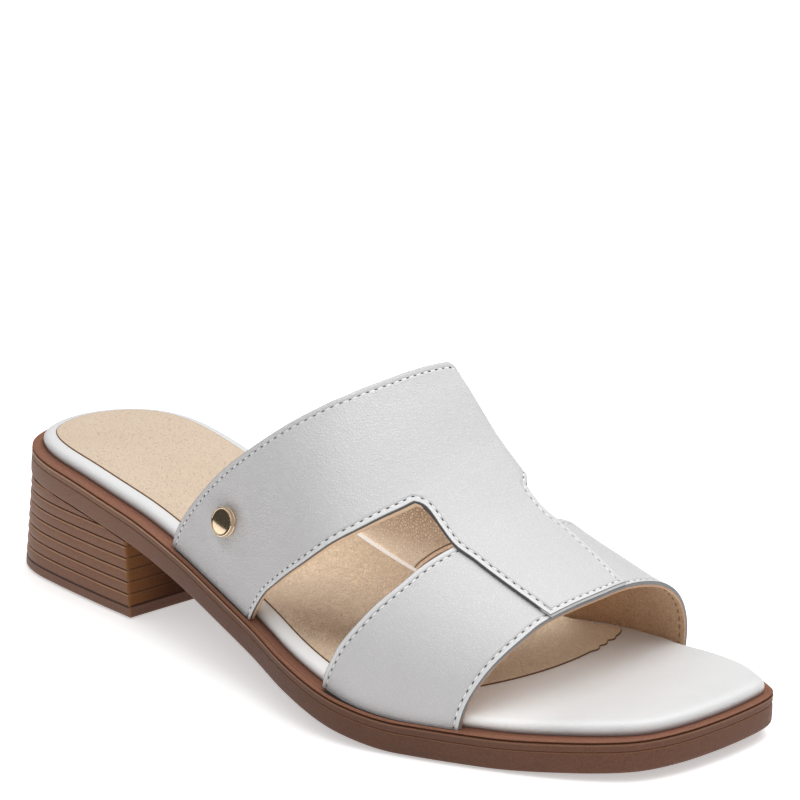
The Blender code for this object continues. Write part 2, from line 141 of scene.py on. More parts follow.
ARCH = (  # x, crown, ridge, lateral, medial, shoulder
    (60, 89.5, 5.3, 25.3, 29.5, 2.6),
    (80, 88.5, 5.3, 28.1, 25.6, 2.6),
    (100, 85.3, 5.3, 32.7, 22.2, 2.6),
    (120, 81.8, 9.0, 37.6, 20.2, 2.6),
    (140, 76.8, 12.8, 43.0, 20.3, 2.6),
    (152, 67.2, 15.2, 45.8, 22.6, 2.25),
    (165, 53.4, 16.0, 47.0, 27.8, 1.95),
    (180, 41.5, 11.3, 43.8, 35.4, 2.35),
    (200, 30.8, 7.4, 36.6, 40.2, 2.7),
    (216, 26.2, 4.0, 29.7, 41.2, 2.65),
    (235, 25.5, 3.5, 17.0, 37.0, 2.6),
)
LATERAL_SHOULDER = 2.2
EDGES = (  # angle, rear edge, waist edge, toe strap rear edge, toe strap front edge
    (0, 82.0, 122.5, 156.5, 197.0),
    (3, 84.5, 125.5, 157.6, 197.3),
    (7, 89.0, 129.8, 159.6, 197.8),
    (12, 95.0, 136.3, 161.8, 198.6),
    (20, 104.3, 145.2, 165.6, 200.1),
    (30, 115.8, 152.6, 169.4, 202.0),
    (40, 126.0, 158.2, 172.6, 204.0),
    (50, 134.6, 162.2, 174.8, 205.7),
    (55, 138.0, 163.9, 175.9, 206.3),
    (59, 140.5, 165.0, 176.8, 206.9),
    (72, 145.2, 169.4, 179.3, 209.2),
    (86, 147.5, 172.3, 182.0, 211.0),
    (97, 148.6, 175.0, 183.8, 211.6),
    (104, 148.2, 173.0, 184.3, 212.0),
    (112, 146.6, 170.8, 184.4, 212.5),
    (126, 141.5, 168.2, 184.0, 213.0),
    (145, 129.0, 163.8, 182.5, 213.2),
    (168, 106.0, 150.6, 178.0, 213.0),
    (175, 98.5, 143.0, 175.5, 212.7),
    (178, 95.5, 137.5, 173.7, 212.5),
    (180, 93.0, 133.0, 172.0, 212.4),
)
BAR_LATERAL = (  # x, angle
    (165.0, 59.0), (166.5, 60.6), (168.3, 61.4), (170.5, 61.6), (176.5, 61.6), (184, 63.2),
    (196, 64.0), (208, 63.2),
)
BAR_MEDIAL = (  # x, angle
    (175, 97.0), (178, 97.2), (182, 97.6), (186, 99.6), (191, 100.6), (200, 99.9), (212, 98.0),
)
BAR_END = 213.0
BAR_FRONT_PROUD = 0.3
BAR_SETTLE = 6.0
BAR_SKIRT = 0.4
BAR_SKIRT_ZONE = (164.5, 168.0, 203.0, 207.0)
BAR_TURNED = 81.0
BAR_LIFT = 0.6
BAR_LIFT_ZONE = (154.0, 177.0)
PANEL_THICK = 2.1
STRAP_THICK = 1.5
BAR_THICK = PANEL_THICK + BAR_LIFT

# Leather edge: radius of its rolled corners, then the trough that the thread pulls along the seam.
EDGE_ROLL = 0.2
LINING_ROLL = 0.25
SEAM_INSET = 1.6
TROUGH_DEPTH = 0.36
TROUGH_WIDTH = 0.34
PILLOW = 0.08
STITCH_PITCH = 2.7
THREAD_SINK = 0.02
THREAD_SIZE = (0.66, 0.31, 0.3)  # share of the gap, half width, half height
HOLE_SIZE = (1.0, 0.37, 0.18)
HOLE_HALF = 0.19  # share of the gap

# Distances from an edge at which the leather has rows of points, and rows between those.
EDGE_STEPS = np.array((0.0, 0.06, 0.15, 0.28, 0.48, 0.8, 1.1, 1.35, 1.6, 1.85, 2.1, 2.5, 3.1, 4.0))
PANEL_ROWS = 26
STRAP_ROWS = 20
BAR_ROWS = 22
BAR_SHARES = np.linspace(0, 1, 44)[1:-1]
WALL_CUTS = 5

STUD_X = 109.6
STUD_ANGLE = 12.8
STUD_ARC = 1.5
STUD_PULL = 0.4
STUD_LEAN = (0.15, 0.0, 0.19)
STUD_PROFILE = (  # radius, height
    (0.0, 1.86), (0.8, 1.85), (1.6, 1.82), (2.4, 1.77), (3.1, 1.71), (3.6, 1.655), (3.68, 1.66),
    (3.76, 1.74), (3.88, 1.77), (4.0, 1.74), (4.1, 1.64), (4.15, 1.45), (4.17, 1.1), (4.17, 0.62),
    (4.1, 0.55), (4.1, 0.48), (4.2, 0.4), (4.22, 0.1), (4.15, -0.3), (3.9, -0.9), (0.0, -0.9),
)

# ---- curves and surfaces


def smoothstep(low, high, at):
    """Soft step from 0 at low to 1 at high."""
    t = np.clip((at - low) / (high - low), 0, 1)
    return t * t * (3 - 2 * t)


def zone(at, start, full, fading, end):
    """1 from full to fading, and softly down to 0 at start and end."""
    return smoothstep(start, full, at) * (1 - smoothstep(fading, end, at))


def hump(at, middle, width):
    """Soft bump of height 1."""
    return np.exp(-(((at - middle) / width) ** 2))


def glide(start, end, start_pull, end_pull, t):
    """Smooth way from start to end, whose slopes there are the two pulls."""
    ends = start * (1 + 2 * t) * (1 - t) ** 2 + end * t * t * (3 - 2 * t)
    return ends + t * (1 - t) * (start_pull * (1 - t) - end_pull * t)


class Curve:
    """Smooth curve through one column of a table, which keeps inside its neighbouring rows."""

    def __init__(self, table, column=1):
        self.keys = np.array([row[0] for row in table], float)
        self.values = np.array([row[column] for row in table], float)
        self.gaps = np.diff(self.keys)
        rises = np.diff(self.values) / self.gaps
        self.slopes = np.zeros(len(self.keys))
        self.slopes[0], self.slopes[-1] = rises[0], rises[-1]
        for i in range(1, len(rises)):
            before, after = rises[i - 1], rises[i]
            if before * after > 0:
                near = 2 * self.gaps[i] + self.gaps[i - 1]
                far = self.gaps[i] + 2 * self.gaps[i - 1]
                self.slopes[i] = (near + far) / (near / before + far / after)

    def __call__(self, at):
        at = np.clip(at, self.keys[0], self.keys[-1])
        i = np.clip(np.searchsorted(self.keys, at, side="right") - 1, 0, len(self.gaps) - 1)
        pulls = self.slopes[i] * self.gaps[i], self.slopes[i + 1] * self.gaps[i]
        return glide(self.values[i], self.values[i + 1], *pulls, (at - self.keys[i]) / self.gaps[i])


underside = Curve(UNDERSIDE)
crown_at, ridge_at, lateral_at, medial_at, shoulder_at = (Curve(ARCH, column) for column in range(1, 6))
rear_edge, waist_edge, strap_rear, strap_front = (Curve(EDGES, column) for column in range(1, 5))
bar_lateral = Curve(BAR_LATERAL)
bar_medial = Curve(BAR_MEDIAL)
BAR_ROOT = (BAR_LATERAL[0][1], BAR_MEDIAL[0][1])


def to_world(points):
    """Points in metres from the shoe's grid."""
    return (np.asarray(points, float) - GRID_MIDDLE) * METRE


def wall_point(x, angle, lift):
    """Point of the upper, lift outside its lining face, in the grid's millimetres."""
    x, angle, lift = np.broadcast_arrays(np.asarray(x, float), angle, lift)
    crown, ridge = crown_at(x), ridge_at(x)
    turn = np.radians(angle)
    cosine, sine = np.cos(turn), np.clip(np.sin(turn), 0, None)
    outer = cosine > 0
    half = np.where(outer, lateral_at(x) + ridge, medial_at(x) - ridge)
    power = np.where(outer, LATERAL_SHOULDER, shoulder_at(x))
    y = ridge - np.sign(cosine) * (half + lift) * np.abs(cosine) ** (2 / power)
    z = underside(x) + BAND_HEIGHT + WELT_GAP + (crown + lift - WELT_GAP) * sine ** (2 / power)
    return np.stack([x, y, z], axis=-1)


def unit(vectors):
    """The same vectors, each of length 1."""
    return vectors / np.linalg.norm(vectors, axis=-1, keepdims=True)


def dot(first, second):
    """Scalar product of each pair of vectors."""
    return np.sum(first * second, axis=-1, keepdims=True)


def wall_normal(x, angle, lift):
    """Unit vectors out of the upper's wall."""
    forward = wall_point(x + NUDGE, angle, lift) - wall_point(x - NUDGE, angle, lift)
    across = wall_point(x, angle + NUDGE, lift) - wall_point(x, angle - NUDGE, lift)
    out = np.cross(across, forward)
    outwards = wall_point(x, angle, lift + 1) - wall_point(x, angle, lift)
    return unit(out * np.sign(dot(out, outwards)))


def lengths(points):
    """Length from the first of some points to each of them."""
    return np.append(0, np.cumsum(np.linalg.norm(np.diff(points, axis=0), axis=1)))


def closed_curve(corners, steps=16):
    """Dense plan points, as complex numbers, of a smooth closed curve through the given ones."""
    points = np.array([complex(*corner) for corner in corners])[:, None]
    after = np.roll(points, -1)
    reach = np.sqrt(np.abs(after - points))
    slopes = (after - np.roll(points, 1)) / (reach + np.roll(reach, 1))
    return glide(points, after, slopes * reach, np.roll(slopes, -1) * reach, np.arange(steps) / steps).ravel()


def closed(shares, line):
    """Shares of the way round a line, its points and its outward normals, with the first again at the end."""
    along = np.roll(line, -1) - np.roll(line, 1)
    out = -1j * along / np.abs(along)
    return shares, np.append(line, line[0]), np.append(out, out[0])


WELT = closed_curve(WELT_EDGE)
WELT_LENGTHS = np.append(0, np.cumsum(np.abs(np.roll(WELT, -1) - WELT)))
RIM = closed(WELT_LENGTHS / WELT_LENGTHS[-1], WELT)
TIP_SHARE = float(RIM[0][int(np.argmax(WELT.real))])


def soft_shelf():
    """Foot of the footbed's side: the rim moved in by the ledge, with its corners softened."""
    shares, line, out = RIM
    forward, medial = np.clip(out.real, 0, None), np.clip(out.imag, 0, None)
    back, lateral = np.clip(-out.real, 0, None), np.clip(-out.imag, 0, None)
    width = LEDGE_LATERAL * lateral**2 + LEDGE_MEDIAL * medial**2 + LEDGE_TOE * forward**2
    width = width + LEDGE_HEEL * back**2 - LEDGE_CORNER * 2 * forward * medial
    even = np.linspace(0, 1, SHELF_STEPS, endpoint=False)
    moved = np.interp(even, shares, line - out * width)
    waves = np.fft.fftfreq(SHELF_STEPS, WELT_LENGTHS[-1] / SHELF_STEPS)
    soft = np.fft.ifft(np.fft.fft(moved) * np.exp(-2 * (math.pi * waves * SHELF_SOFT) ** 2))
    return closed(np.append(even, 1.0), soft)


SHELF = soft_shelf()


def rim_point(share, outline, inset, flare=0.0):
    """Plan point at a share of the way round an outline, moved in by inset and out by flare at the heel."""
    shares, line, out = outline
    point = np.interp(share, shares, line)
    move = flare * np.exp(-((point.real / FLARE_REACH) ** 2)) - inset
    point = point + np.interp(share, shares, out) * move
    return point.real, point.imag


def flare_at(z):
    """Backward flare of the heel's wall at a height."""
    return HEEL_FLARE * (FLARE_TOP - z) / FLARE_TOP


def between(left, right, v):
    """Point a share v of the way from one plan point to another."""
    return left[0] + (right[0] - left[0]) * v, left[1] + (right[1] - left[1]) * v


def sole_level(outline, inset, height):
    """Level of the sole at a height over its underside, u from heel to toe and v across."""
    flare = flare_at(underside(0) + height) if outline is RIM else 0.0

    def place(u, v):
        left = rim_point(u * TIP_SHARE, outline, inset, flare)
        right = rim_point(1 - u * (1 - TIP_SHARE), outline, inset, flare)
        x, y = between(left, right, v)
        return np.stack([x, y, underside(x) + height], axis=-1)

    return place


def cut_shares(front, side):
    """Shares round the rim, lateral and medial, where a side line crosses the line x = front(y)."""
    found = []
    for low, high in ((0.0, TIP_SHARE), (1.0, TIP_SHARE)):
        for _ in range(30):
            middle = (low + high) / 2
            x, y = side(middle)
            if x < front(y):
                low = middle
            else:
                high = middle
        found.append(low)
    return found


# ---- finishes


class Wire:
    """Socket of some nodes that takes arithmetic."""

    def __init__(self, nodes, socket):
        self.nodes = nodes
        self.socket = socket

    def maths(self, operation, *values):
        """What a Math node makes of some values."""
        return self.nodes.node("Math", dict(enumerate(values)), operation=operation)

    def __add__(self, other):
        return self.maths("ADD", self, other)

    __radd__ = __add__

    def __sub__(self, other):
        return self.maths("SUBTRACT", self, other)

    def __rsub__(self, other):
        return self.maths("SUBTRACT", other, self)

    def __mul__(self, other):
        return self.maths("MULTIPLY", self, other)

    __rmul__ = __mul__

    def __truediv__(self, other):
        return self.maths("DIVIDE", self, other)

    def ramp(self, low, high):
        """Soft step from 0 at low to 1 at high."""
        if low > high:
            return 1 - self.ramp(high, low)
        inputs = {"Value": self, "From Min": low, "From Max": high}
        return self.nodes.node("MapRange", inputs, interpolation_type="SMOOTHSTEP")

    def line(self, middle, half):
        """Soft line of height 1 where the value is within half of the middle."""
        off = self.maths("ABSOLUTE", self - middle)
        return 1 - off.ramp(0.6 * half, 1.4 * half)


class Nodes:
    """Node tree whose sockets come as wires."""

    def __init__(self, tree):
        self.tree = tree

    def node(self, kind, inputs=None, output=0, **settings):
        """Output of a new node, whose settings are made before its sockets are fed."""
        node = self.tree.nodes.new("ShaderNode" + kind)
        for name, value in settings.items():
            setattr(node, name, value)
        for name, value in (inputs or {}).items():
            self.feed(node.inputs[name], value)
        return Wire(self, node.outputs[output])

    def feed(self, socket, value):
        """Link a wire to a socket, or set the socket's own value."""
        if isinstance(value, Wire):
            self.tree.links.new(value.socket, socket)
        else:
            socket.default_value = value


class Finish(Nodes):
    """Procedural material: one Principled shader, and the tone that its nodes build up in coats."""

    def __init__(self, name, **plain):
        self.material = bpy.data.materials.new(name)
        self.material.use_nodes = True
        super().__init__(self.material.node_tree)
        self.tone = None
        self.give(**plain)

    def give(self, **values):
        """Feed the shader's own sockets."""
        for name, value in values.items():
            self.feed(self.tree.nodes["Principled BSDF"].inputs[name.replace("_", " ")], value)
        return self.material

    def place(self, stretch=(1, 1, 1)):
        """Object coordinates, in millimetres, stretched along each axis."""
        scale = tuple(part / METRE for part in stretch)
        return self.node("Mapping", {"Vector": self.node("TexCoord", output="Object"), "Scale": scale})

    def axis(self, name):
        """One Object coordinate in millimetres."""
        return self.node("SeparateXYZ", {"Vector": self.place()}, name)

    def attribute(self, name):
        """Value that was painted on the points of a piece."""
        return self.node("Attribute", output="Fac", attribute_name=name)

    def noise(self, size, detail=2.0, roughness=0.5, stretch=(1, 1, 1)):
        """Noise from 0 to 1 with features about size millimetres wide."""
        inputs = {"Vector": self.place(stretch), "Scale": 1 / size, "Detail": detail, "Roughness": roughness}
        return self.node("TexNoise", inputs)

    def cells(self, size, wander):
        """Distance from the wandering borders of cells about size millimetres wide."""
        place = self.place()
        drift = self.node("TexNoise", {"Vector": place, "Scale": 0.7 / size, "Detail": 2.0}, "Color")
        drift = self.node("VectorMath", {0: drift, "Scale": wander}, operation="SCALE")
        place = self.node("VectorMath", {0: place, 1: drift}, operation="ADD")
        return self.node("TexVoronoi", {"Vector": place, "Scale": 1 / size}, feature="DISTANCE_TO_EDGE")

    def mix(self, share, first, second):
        """Colour a share of the way from the first to the second, where one number is a grey."""
        inputs = {0: share}
        for socket, colour in ((6, first), (7, second)):
            if isinstance(colour, float):
                colour = (colour, colour, colour)
            inputs[socket] = (*colour, 1.0) if isinstance(colour, tuple) else colour
        return self.node("Mix", inputs, 2, data_type="RGBA")

    def coat(self, share, colour):
        """Lay a share of a colour over the tone."""
        self.tone = self.mix(share, self.tone, colour)

    def done(self, roughness, height=None, depth=0.0, **more):
        """Material with the tone, a roughness, and a surface whose height runs over depth millimetres."""
        if height is not None:
            more["Normal"] = self.node("Bump", {"Height": height, "Distance": depth * METRE, "Strength": 1.0})
        return self.give(Base_Color=self.tone, Roughness=roughness, **more)


def upper_leather():
    """Smooth white leather with a fine tight grain, paler where it is pressed along its edges."""
    finish = Finish("upper_leather", IOR=1.46, Sheen_Weight=0.05)
    edge = finish.attribute("from_edge")
    ahead = finish.axis("X").ramp(5, 55)
    grain = finish.cells(0.8, 0.6).ramp(0.02, 0.3)
    wrinkle = finish.noise(0.75, 3.0, 0.6, stretch=(1.0, 1.5, 0.8))
    finish.tone = finish.mix(finish.noise(26.0), (0.62, 0.615, 0.62), (0.66, 0.655, 0.66))
    finish.coat(0.16 * (1 - grain), (0.30, 0.30, 0.31))
    # Painted shade: the leather is darker towards the toe.
    finish.coat(0.09 * ahead, 0.30)
    # Painted shade low on the walls, near the welt.
    finish.coat(0.36 * finish.attribute("low"), (0.32, 0.29, 0.30))
    finish.coat(finish.attribute("pale") * edge.ramp(1.3, 1.05), 0.80)
    # Painted shade in the thread's trough along each seam.
    finish.coat(0.14 * edge.line(SEAM_INSET, 0.42), 0.26)
    reach = edge + 0.16 * (finish.noise(0.7) - 0.5)
    finish.coat(0.9 * reach.ramp(0.24, 0.1), (0.10, 0.10, 0.103))
    height = (1 - 0.6 * ahead) * (grain * 0.6 + wrinkle * 0.9) + finish.noise(3.0) * 0.9
    return finish.done(0.36 + 0.14 * finish.noise(1.2) + 0.05 * (1 - grain), height, 0.15)


def edge_paint(name, dark, light):
    """Paint on a cut leather edge, and the fibres that show through it."""
    finish = Finish(name, IOR=1.45)
    fibre = finish.noise(0.4, 3.0, 0.7)
    finish.tone = finish.mix(fibre, dark, light)
    return finish, fibre


def panel_edge():
    """Dark grey edge of the instep panel: raw where it is turned under, pale along the bar."""
    finish, fibre = edge_paint("panel_edge", (0.045, 0.044, 0.044), (0.12, 0.118, 0.118))
    turned = (finish.attribute("below") + 0.15 * (fibre - 0.5)).ramp(0.7, 0.85)
    finish.coat(turned, finish.mix(fibre, (0.66, 0.44, 0.27), (0.95, 0.70, 0.48)))
    finish.coat(0.9 * finish.axis("X").ramp(BAR_TURNED, BAR_TURNED + 1), 0.62)
    return finish.done(0.55 + 0.2 * fibre, fibre, 0.14)


def strap_edge():
    """Mid grey edge of the toe strap, with the raw tan of the lining at its inner side."""
    finish, fibre = edge_paint("strap_edge", (0.15, 0.15, 0.155), (0.32, 0.32, 0.325))
    inner = (finish.attribute("depth") + 0.2 * (fibre - 0.5)).ramp(0.6, 0.72)
    finish.coat(inner, finish.mix(fibre, (0.36, 0.19, 0.10), (0.62, 0.38, 0.24)))
    return finish.done(0.6 + 0.2 * fibre, fibre, 0.16)


def bronze_lining():
    """Soft lining with a bronze coat, a pebbled grain and a corded strip along its edge; it glows a little,
    with painted shade in its creases, painted glints on its pebbles and painted light lower down.
    """
    finish = Finish("bronze_lining", IOR=1.5, Emission_Strength=0.2)
    edge = finish.attribute("from_edge")
    z = finish.axis("Z")
    pebble = finish.cells(0.95, 0.7).ramp(0.0, 0.28)
    fine = finish.noise(0.5, 3.0, 0.6)
    crease_and_painted_shade = finish.noise(5.0, 3.0, 0.55)
    finish.tone = finish.mix(pebble, (0.34, 0.21, 0.12), (0.74, 0.53, 0.36))
    # Painted shade in the creases.
    finish.coat(0.7 * crease_and_painted_shade.ramp(0.48, 0.3), (0.42, 0.26, 0.14))
    # Painted glints on the pebbles.
    finish.coat(0.85 * fine.ramp(0.5, 0.6) * pebble, (1.0, 0.80, 0.60))
    # Painted light: lighter lower down.
    finish.coat(0.45 * z.ramp(44, 28) + 0.4 * z.ramp(31, 24), (1.0, 0.82, 0.64))
    finish.coat(0.9 * edge.line(2.5, 0.24), (0.14, 0.06, 0.025))
    finish.coat(0.9 * edge.line(1.8, 0.46), (1.0, 0.72, 0.52))
    finish.coat(edge.ramp(1.35, 1.15), (0.26, 0.13, 0.065))
    finish.coat(edge.ramp(0.8, 0.6), (0.10, 0.095, 0.092))
    height = pebble * 0.8 + fine * 0.3 + crease_and_painted_shade * 2.4 + edge.line(1.8, 0.5) * 1.2
    # The lining glows in its own tone: painted light.
    more = {"Emission_Color": finish.tone, "Metallic": 0.12 * pebble}
    return finish.done(0.24 + 0.16 * fine, height, 0.48, **more)


def tan_lining():
    """Tan lining with a short nap."""
    finish = Finish("tan_lining", IOR=1.45, Sheen_Weight=0.15)
    nap = finish.noise(0.6, 4.0, 0.7)
    share = nap.ramp(0.25, 0.75) * 0.7 + finish.noise(7.0) * 0.3
    finish.tone = finish.mix(share, (0.43, 0.25, 0.13), (0.80, 0.55, 0.36))
    return finish.done(0.6 + 0.2 * nap, nap, 0.2)


def thread(name, light, dark):
    """Twisted sewing thread."""
    finish = Finish(name, IOR=1.5)
    twist = finish.noise(0.18, 2.0, 0.6, stretch=(1, 2.4, 1.6))
    finish.tone = finish.mix(twist, dark, light)
    return finish.done(0.55 + 0.2 * twist)


def needle_hole():
    """Shadow inside a needle hole."""
    finish = Finish("needle_hole", IOR=1.3)
    finish.tone = finish.mix(finish.noise(0.3), (0.02, 0.02, 0.022), (0.05, 0.05, 0.055))
    return finish.done(0.9)


def speckled_brown(name, dark, light):
    """Moulded brown with soft clouds and fine speckles, and the speckles by themselves."""
    finish = Finish(name, IOR=1.48, Specular_IOR_Level=0.3)
    speck = finish.noise(0.7, 4.0, 0.7).ramp(0.3, 0.7)
    finish.tone = finish.mix(speck * 0.65 + finish.noise(9.0) * 0.35, dark, light)
    finish.coat(0.5 * finish.noise(1.3, 3.0, 0.6).ramp(0.36, 0.28), tuple(0.4 * part for part in dark))
    return finish, speck


def band_rubber():
    """Moulded brown band with a dark groove, a light lip under it and a reddish welt."""
    finish, speck = speckled_brown("band_rubber", (0.088, 0.033, 0.016), (0.160, 0.067, 0.036))
    x = finish.axis("X")
    middle = x.ramp(-70, -20) * x.ramp(105, 60)
    drop = finish.attribute("drop")
    wobble = 0.16 * (finish.noise(5.0) - 0.5)
    wavy, steady = drop + wobble, drop + 0.5 * wobble
    welt = finish.mix(speck, (0.168, 0.068, 0.039), (0.265, 0.113, 0.067))
    # Painted shade: the welt darkens further in, where it runs under the footbed.
    welt = finish.mix(0.5 * (drop + 2 * wobble).ramp(-2.0, -3.6), welt, (0.14, 0.055, 0.034))
    welt = finish.mix(0.45 * middle * wavy.line(-1.0, 0.22), welt, (0.36, 0.165, 0.08))
    welt = finish.mix(0.6 * middle * wavy.line(-1.5, 0.14), welt, (0.07, 0.026, 0.012))
    # Painted light: the band is lighter towards the heel.
    finish.coat(0.35 * x.ramp(0, -80), (0.27, 0.145, 0.095))
    # Painted shade along the middle stretch of the band's sides.
    finish.coat(0.3 * middle, (0.05, 0.022, 0.014))
    finish.coat(drop.ramp(0.32, 0.22), welt)
    finish.coat((0.8 - 0.6 * x.ramp(-30, 50)) * wavy.line(1.12, 0.26), (0.42, 0.225, 0.125))
    finish.coat(0.95 * steady.line(0.52, 0.28), (0.105, 0.032, 0.010))
    finish.coat(0.7 * steady.line(3.08, 0.16), (0.12, 0.042, 0.016))
    finish.coat(0.2 * wavy.line(3.38, 0.16), (0.38, 0.2, 0.11))
    # Painted shadow on the welt where a strap comes down into it.
    finish.coat(0.92 * finish.attribute("foot") * drop.ramp(-1.0, -1.5), (0.012, 0.007, 0.005))
    return finish.done(0.46 + 0.2 * speck, speck, 0.07)


def heel_rubber():
    """Brown stacked heel: a dark line at every lift with a light lip under it, partly a painted highlight,
    and a darker breast face, partly painted shade, with painted light towards its corners.
    """
    finish, speck = speckled_brown("heel_rubber", (0.132, 0.052, 0.026), (0.230, 0.103, 0.054))
    breast = finish.attribute("breast")
    z = finish.axis("Z") + 0.1 * (finish.noise(4.0) - 0.5)
    step = z / LIFT_PITCH
    near = (step - step.maths("ROUND", step)) * LIFT_PITCH
    above = z.ramp(FIRST_CUT - 0.1, FIRST_CUT + 0.1)
    lip = above * near.line(-0.42, 0.2) * (1 - 0.85 * breast)
    cut = above * near.line(0.02, 0.27) * (1 - 0.4 * breast)
    # Painted light: the breast face is lighter towards its two corners; its darkness is partly painted shade.
    face = finish.mix(finish.attribute("glow"), (0.052, 0.011, 0.0), (0.20, 0.077, 0.022))
    finish.coat(0.9 * breast, face)
    # Light lip on the top edge of each lift: partly its lighter raw edge, partly a painted highlight.
    finish.coat(0.85 * lip, (0.45, 0.24, 0.135))
    finish.coat(0.95 * cut, (0.035, 0.01, 0.004))
    finish.coat(0.9 * z.ramp(4.05, 3.75), (0.035, 0.01, 0.004))
    finish.coat(0.6 * finish.attribute("corner"), (0.36, 0.18, 0.08))
    return finish.done(0.4 + 0.22 * speck + 0.35 * breast, speck, 0.05)


def wear_rubber():
    """Brown wear piece under the heel."""
    finish, speck = speckled_brown("wear_rubber", (0.13, 0.058, 0.034), (0.21, 0.104, 0.065))
    joint = finish.axis("Z").ramp(TOP_PIECE - 0.35, TOP_PIECE - 0.05)
    finish.coat(0.9 * joint, (0.03, 0.01, 0.005))
    finish.coat(0.6 * finish.attribute("corner"), (0.36, 0.18, 0.08))
    return finish.done(0.45 + 0.2 * speck, speck, 0.05)


def footbed_leather():
    """White leather drawn over the footbed, with painted light, painted shade and a painted reflection in
    places, and a little glow where it is painted lit.
    """
    finish = Finish("footbed_leather", IOR=1.46, Sheen_Weight=0.04, Emission_Strength=0.22)
    grain = finish.cells(0.6, 0.5).ramp(0.0, 0.3)
    finish.tone = finish.mix(finish.noise(11.0, 3.0, 0.55), 0.645, 0.70)
    # Painted light: near-white along the waists and before the toe strap.
    finish.coat(finish.attribute("painted_light"), (0.98, 0.975, 0.965))
    # Painted reflection of the tan lining, beside the foot of the panel's lateral waist edge.
    finish.coat(0.5 * finish.attribute("painted_warm_reflection"), (0.36, 0.28, 0.21))
    # Painted shade: greyer towards the foot of the rolled edge.
    finish.coat(0.55 * finish.attribute("over").ramp(1.3, -0.2), (0.30, 0.295, 0.30))
    height = grain * 0.35 + finish.noise(0.3) * 0.3 + finish.noise(4.0) * 1.4
    # Painted light: the footbed glows in its own tone where it is marked lit.
    glow = finish.mix(finish.attribute("lit"), 0.0, finish.tone)
    return finish.done(0.36 + 0.12 * finish.noise(1.0), height, 0.05, Emission_Color=glow)


def sock_leather():
    """Natural tan leather with fine pores and wrinkles, dark brown at its cut edge, with painted light,
    painted shade and a little glow in places.
    """
    finish = Finish("sock_leather", IOR=1.42, Emission_Strength=0.18)
    bend_and_painted_light, crease_and_painted_shade = finish.attribute("bend_and_painted_light"), finish.attribute("crease_and_painted_shade")
    pores = finish.noise(0.6, 2.0, 0.7).ramp(0.42, 0.32)
    patch = 0.3 + 0.7 * finish.noise(6.0).ramp(0.35, 0.6)
    fine = finish.noise(0.7, 3.0, 0.65)
    cell = finish.cells(1.1, 0.8).ramp(0.0, 0.3)
    wrinkle = cell + finish.noise(1.6, 3.0, 0.6, stretch=(1.0, 0.5, 1.0))
    wrinkle_streaks = finish.noise(1.0, 4.0, 0.75)
    painted_wrinkle_light = 0.5 * (0.5 * bend_and_painted_light + 0.5 * crease_and_painted_shade)
    finish.tone = finish.mix(finish.noise(22.0, 3.0), (0.605, 0.485, 0.37), (0.675, 0.555, 0.435))
    finish.coat(0.3 * (1 - fine), (0.48, 0.34, 0.22))
    finish.coat(0.34 * pores * patch, (0.30, 0.18, 0.10))
    # Painted light: paler and warmer where the sock bends, which is also where it wrinkles.
    finish.coat(bend_and_painted_light * 0.85, finish.mix(fine, (0.79, 0.60, 0.42), (0.97, 0.77, 0.57)))
    # Painted shade in the crease.
    finish.coat(0.27 * crease_and_painted_shade * (0.5 + fine), (0.46, 0.22, 0.075))
    finish.coat(0.09 * crease_and_painted_shade * (1 - cell), (0.30, 0.15, 0.06))
    # Painted shade and painted light along fine wrinkles where the sock bends and creases.
    finish.coat(painted_wrinkle_light * wrinkle_streaks.ramp(0.47, 0.38), (0.42, 0.27, 0.16))
    finish.coat(painted_wrinkle_light * wrinkle_streaks.ramp(0.56, 0.64), (0.98, 0.83, 0.68))
    finish.coat(finish.attribute("cut").ramp(0.35, 0.65), (0.17, 0.075, 0.03))
    folded = bend_and_painted_light + 0.8 * crease_and_painted_shade
    height = fine * (0.6 + 0.8 * folded) + wrinkle * (0.25 + 1.9 * folded)
    height = height - pores * 0.5 + finish.noise(5.0) * 1.2
    # Painted light: the sock glows in its own tone where it is marked lit.
    glow = finish.mix(finish.attribute("lit"), 0.0, finish.tone)
    return finish.done(0.46 + 0.14 * finish.noise(1.5), height, 0.2, Emission_Color=glow)


def polished_gold():
    """Polished pale gold."""
    finish = Finish("polished_gold", Metallic=1.0, IOR=1.5)
    haze = finish.noise(0.8)
    finish.tone = finish.mix(haze, (0.84, 0.62, 0.41), (0.92, 0.73, 0.53))
    return finish.done(0.06 + 0.05 * haze)


def studio_floor():
    """Plain pale floor."""
    finish = Finish("studio_floor", IOR=1.2, Emission_Strength=0.45, Emission_Color=(1, 1, 1, 1))
    finish.tone = finish.mix(finish.noise(400.0), 0.83, 0.85)
    return finish.done(0.9)


# ---- making pieces


def share_grid(us, vs):
    """Flat grid whose points carry the shares u and v, and a level."""
    bm = bmesh.new()
    share = bm.verts.layers.float_vector.new("share")
    rows, columns = len(us) - 1, len(vs) - 1
    bmesh.ops.create_grid(bm, x_segments=rows, y_segments=columns, size=0.5)
    for vert in bm.verts:
        vert[share] = (us[round((vert.co.x + 0.5) * rows)], vs[round((vert.co.y + 0.5) * columns)], 0)
    return bm, share


def of_type(grown, kind):
    """Faces, edges or points among what an operator made."""
    return [item for item in grown["geom"] if isinstance(item, kind)]


def raise_faces(bm, faces):
    """Extrude a whole region once, and return its new faces and points."""
    edges = {edge for face in faces for edge in face.edges}
    verts = {vert for face in faces for vert in face.verts}
    grown = bmesh.ops.extrude_face_region(bm, geom=[*faces, *edges, *verts])
    return of_type(grown, bmesh.types.BMFace), of_type(grown, bmesh.types.BMVert)


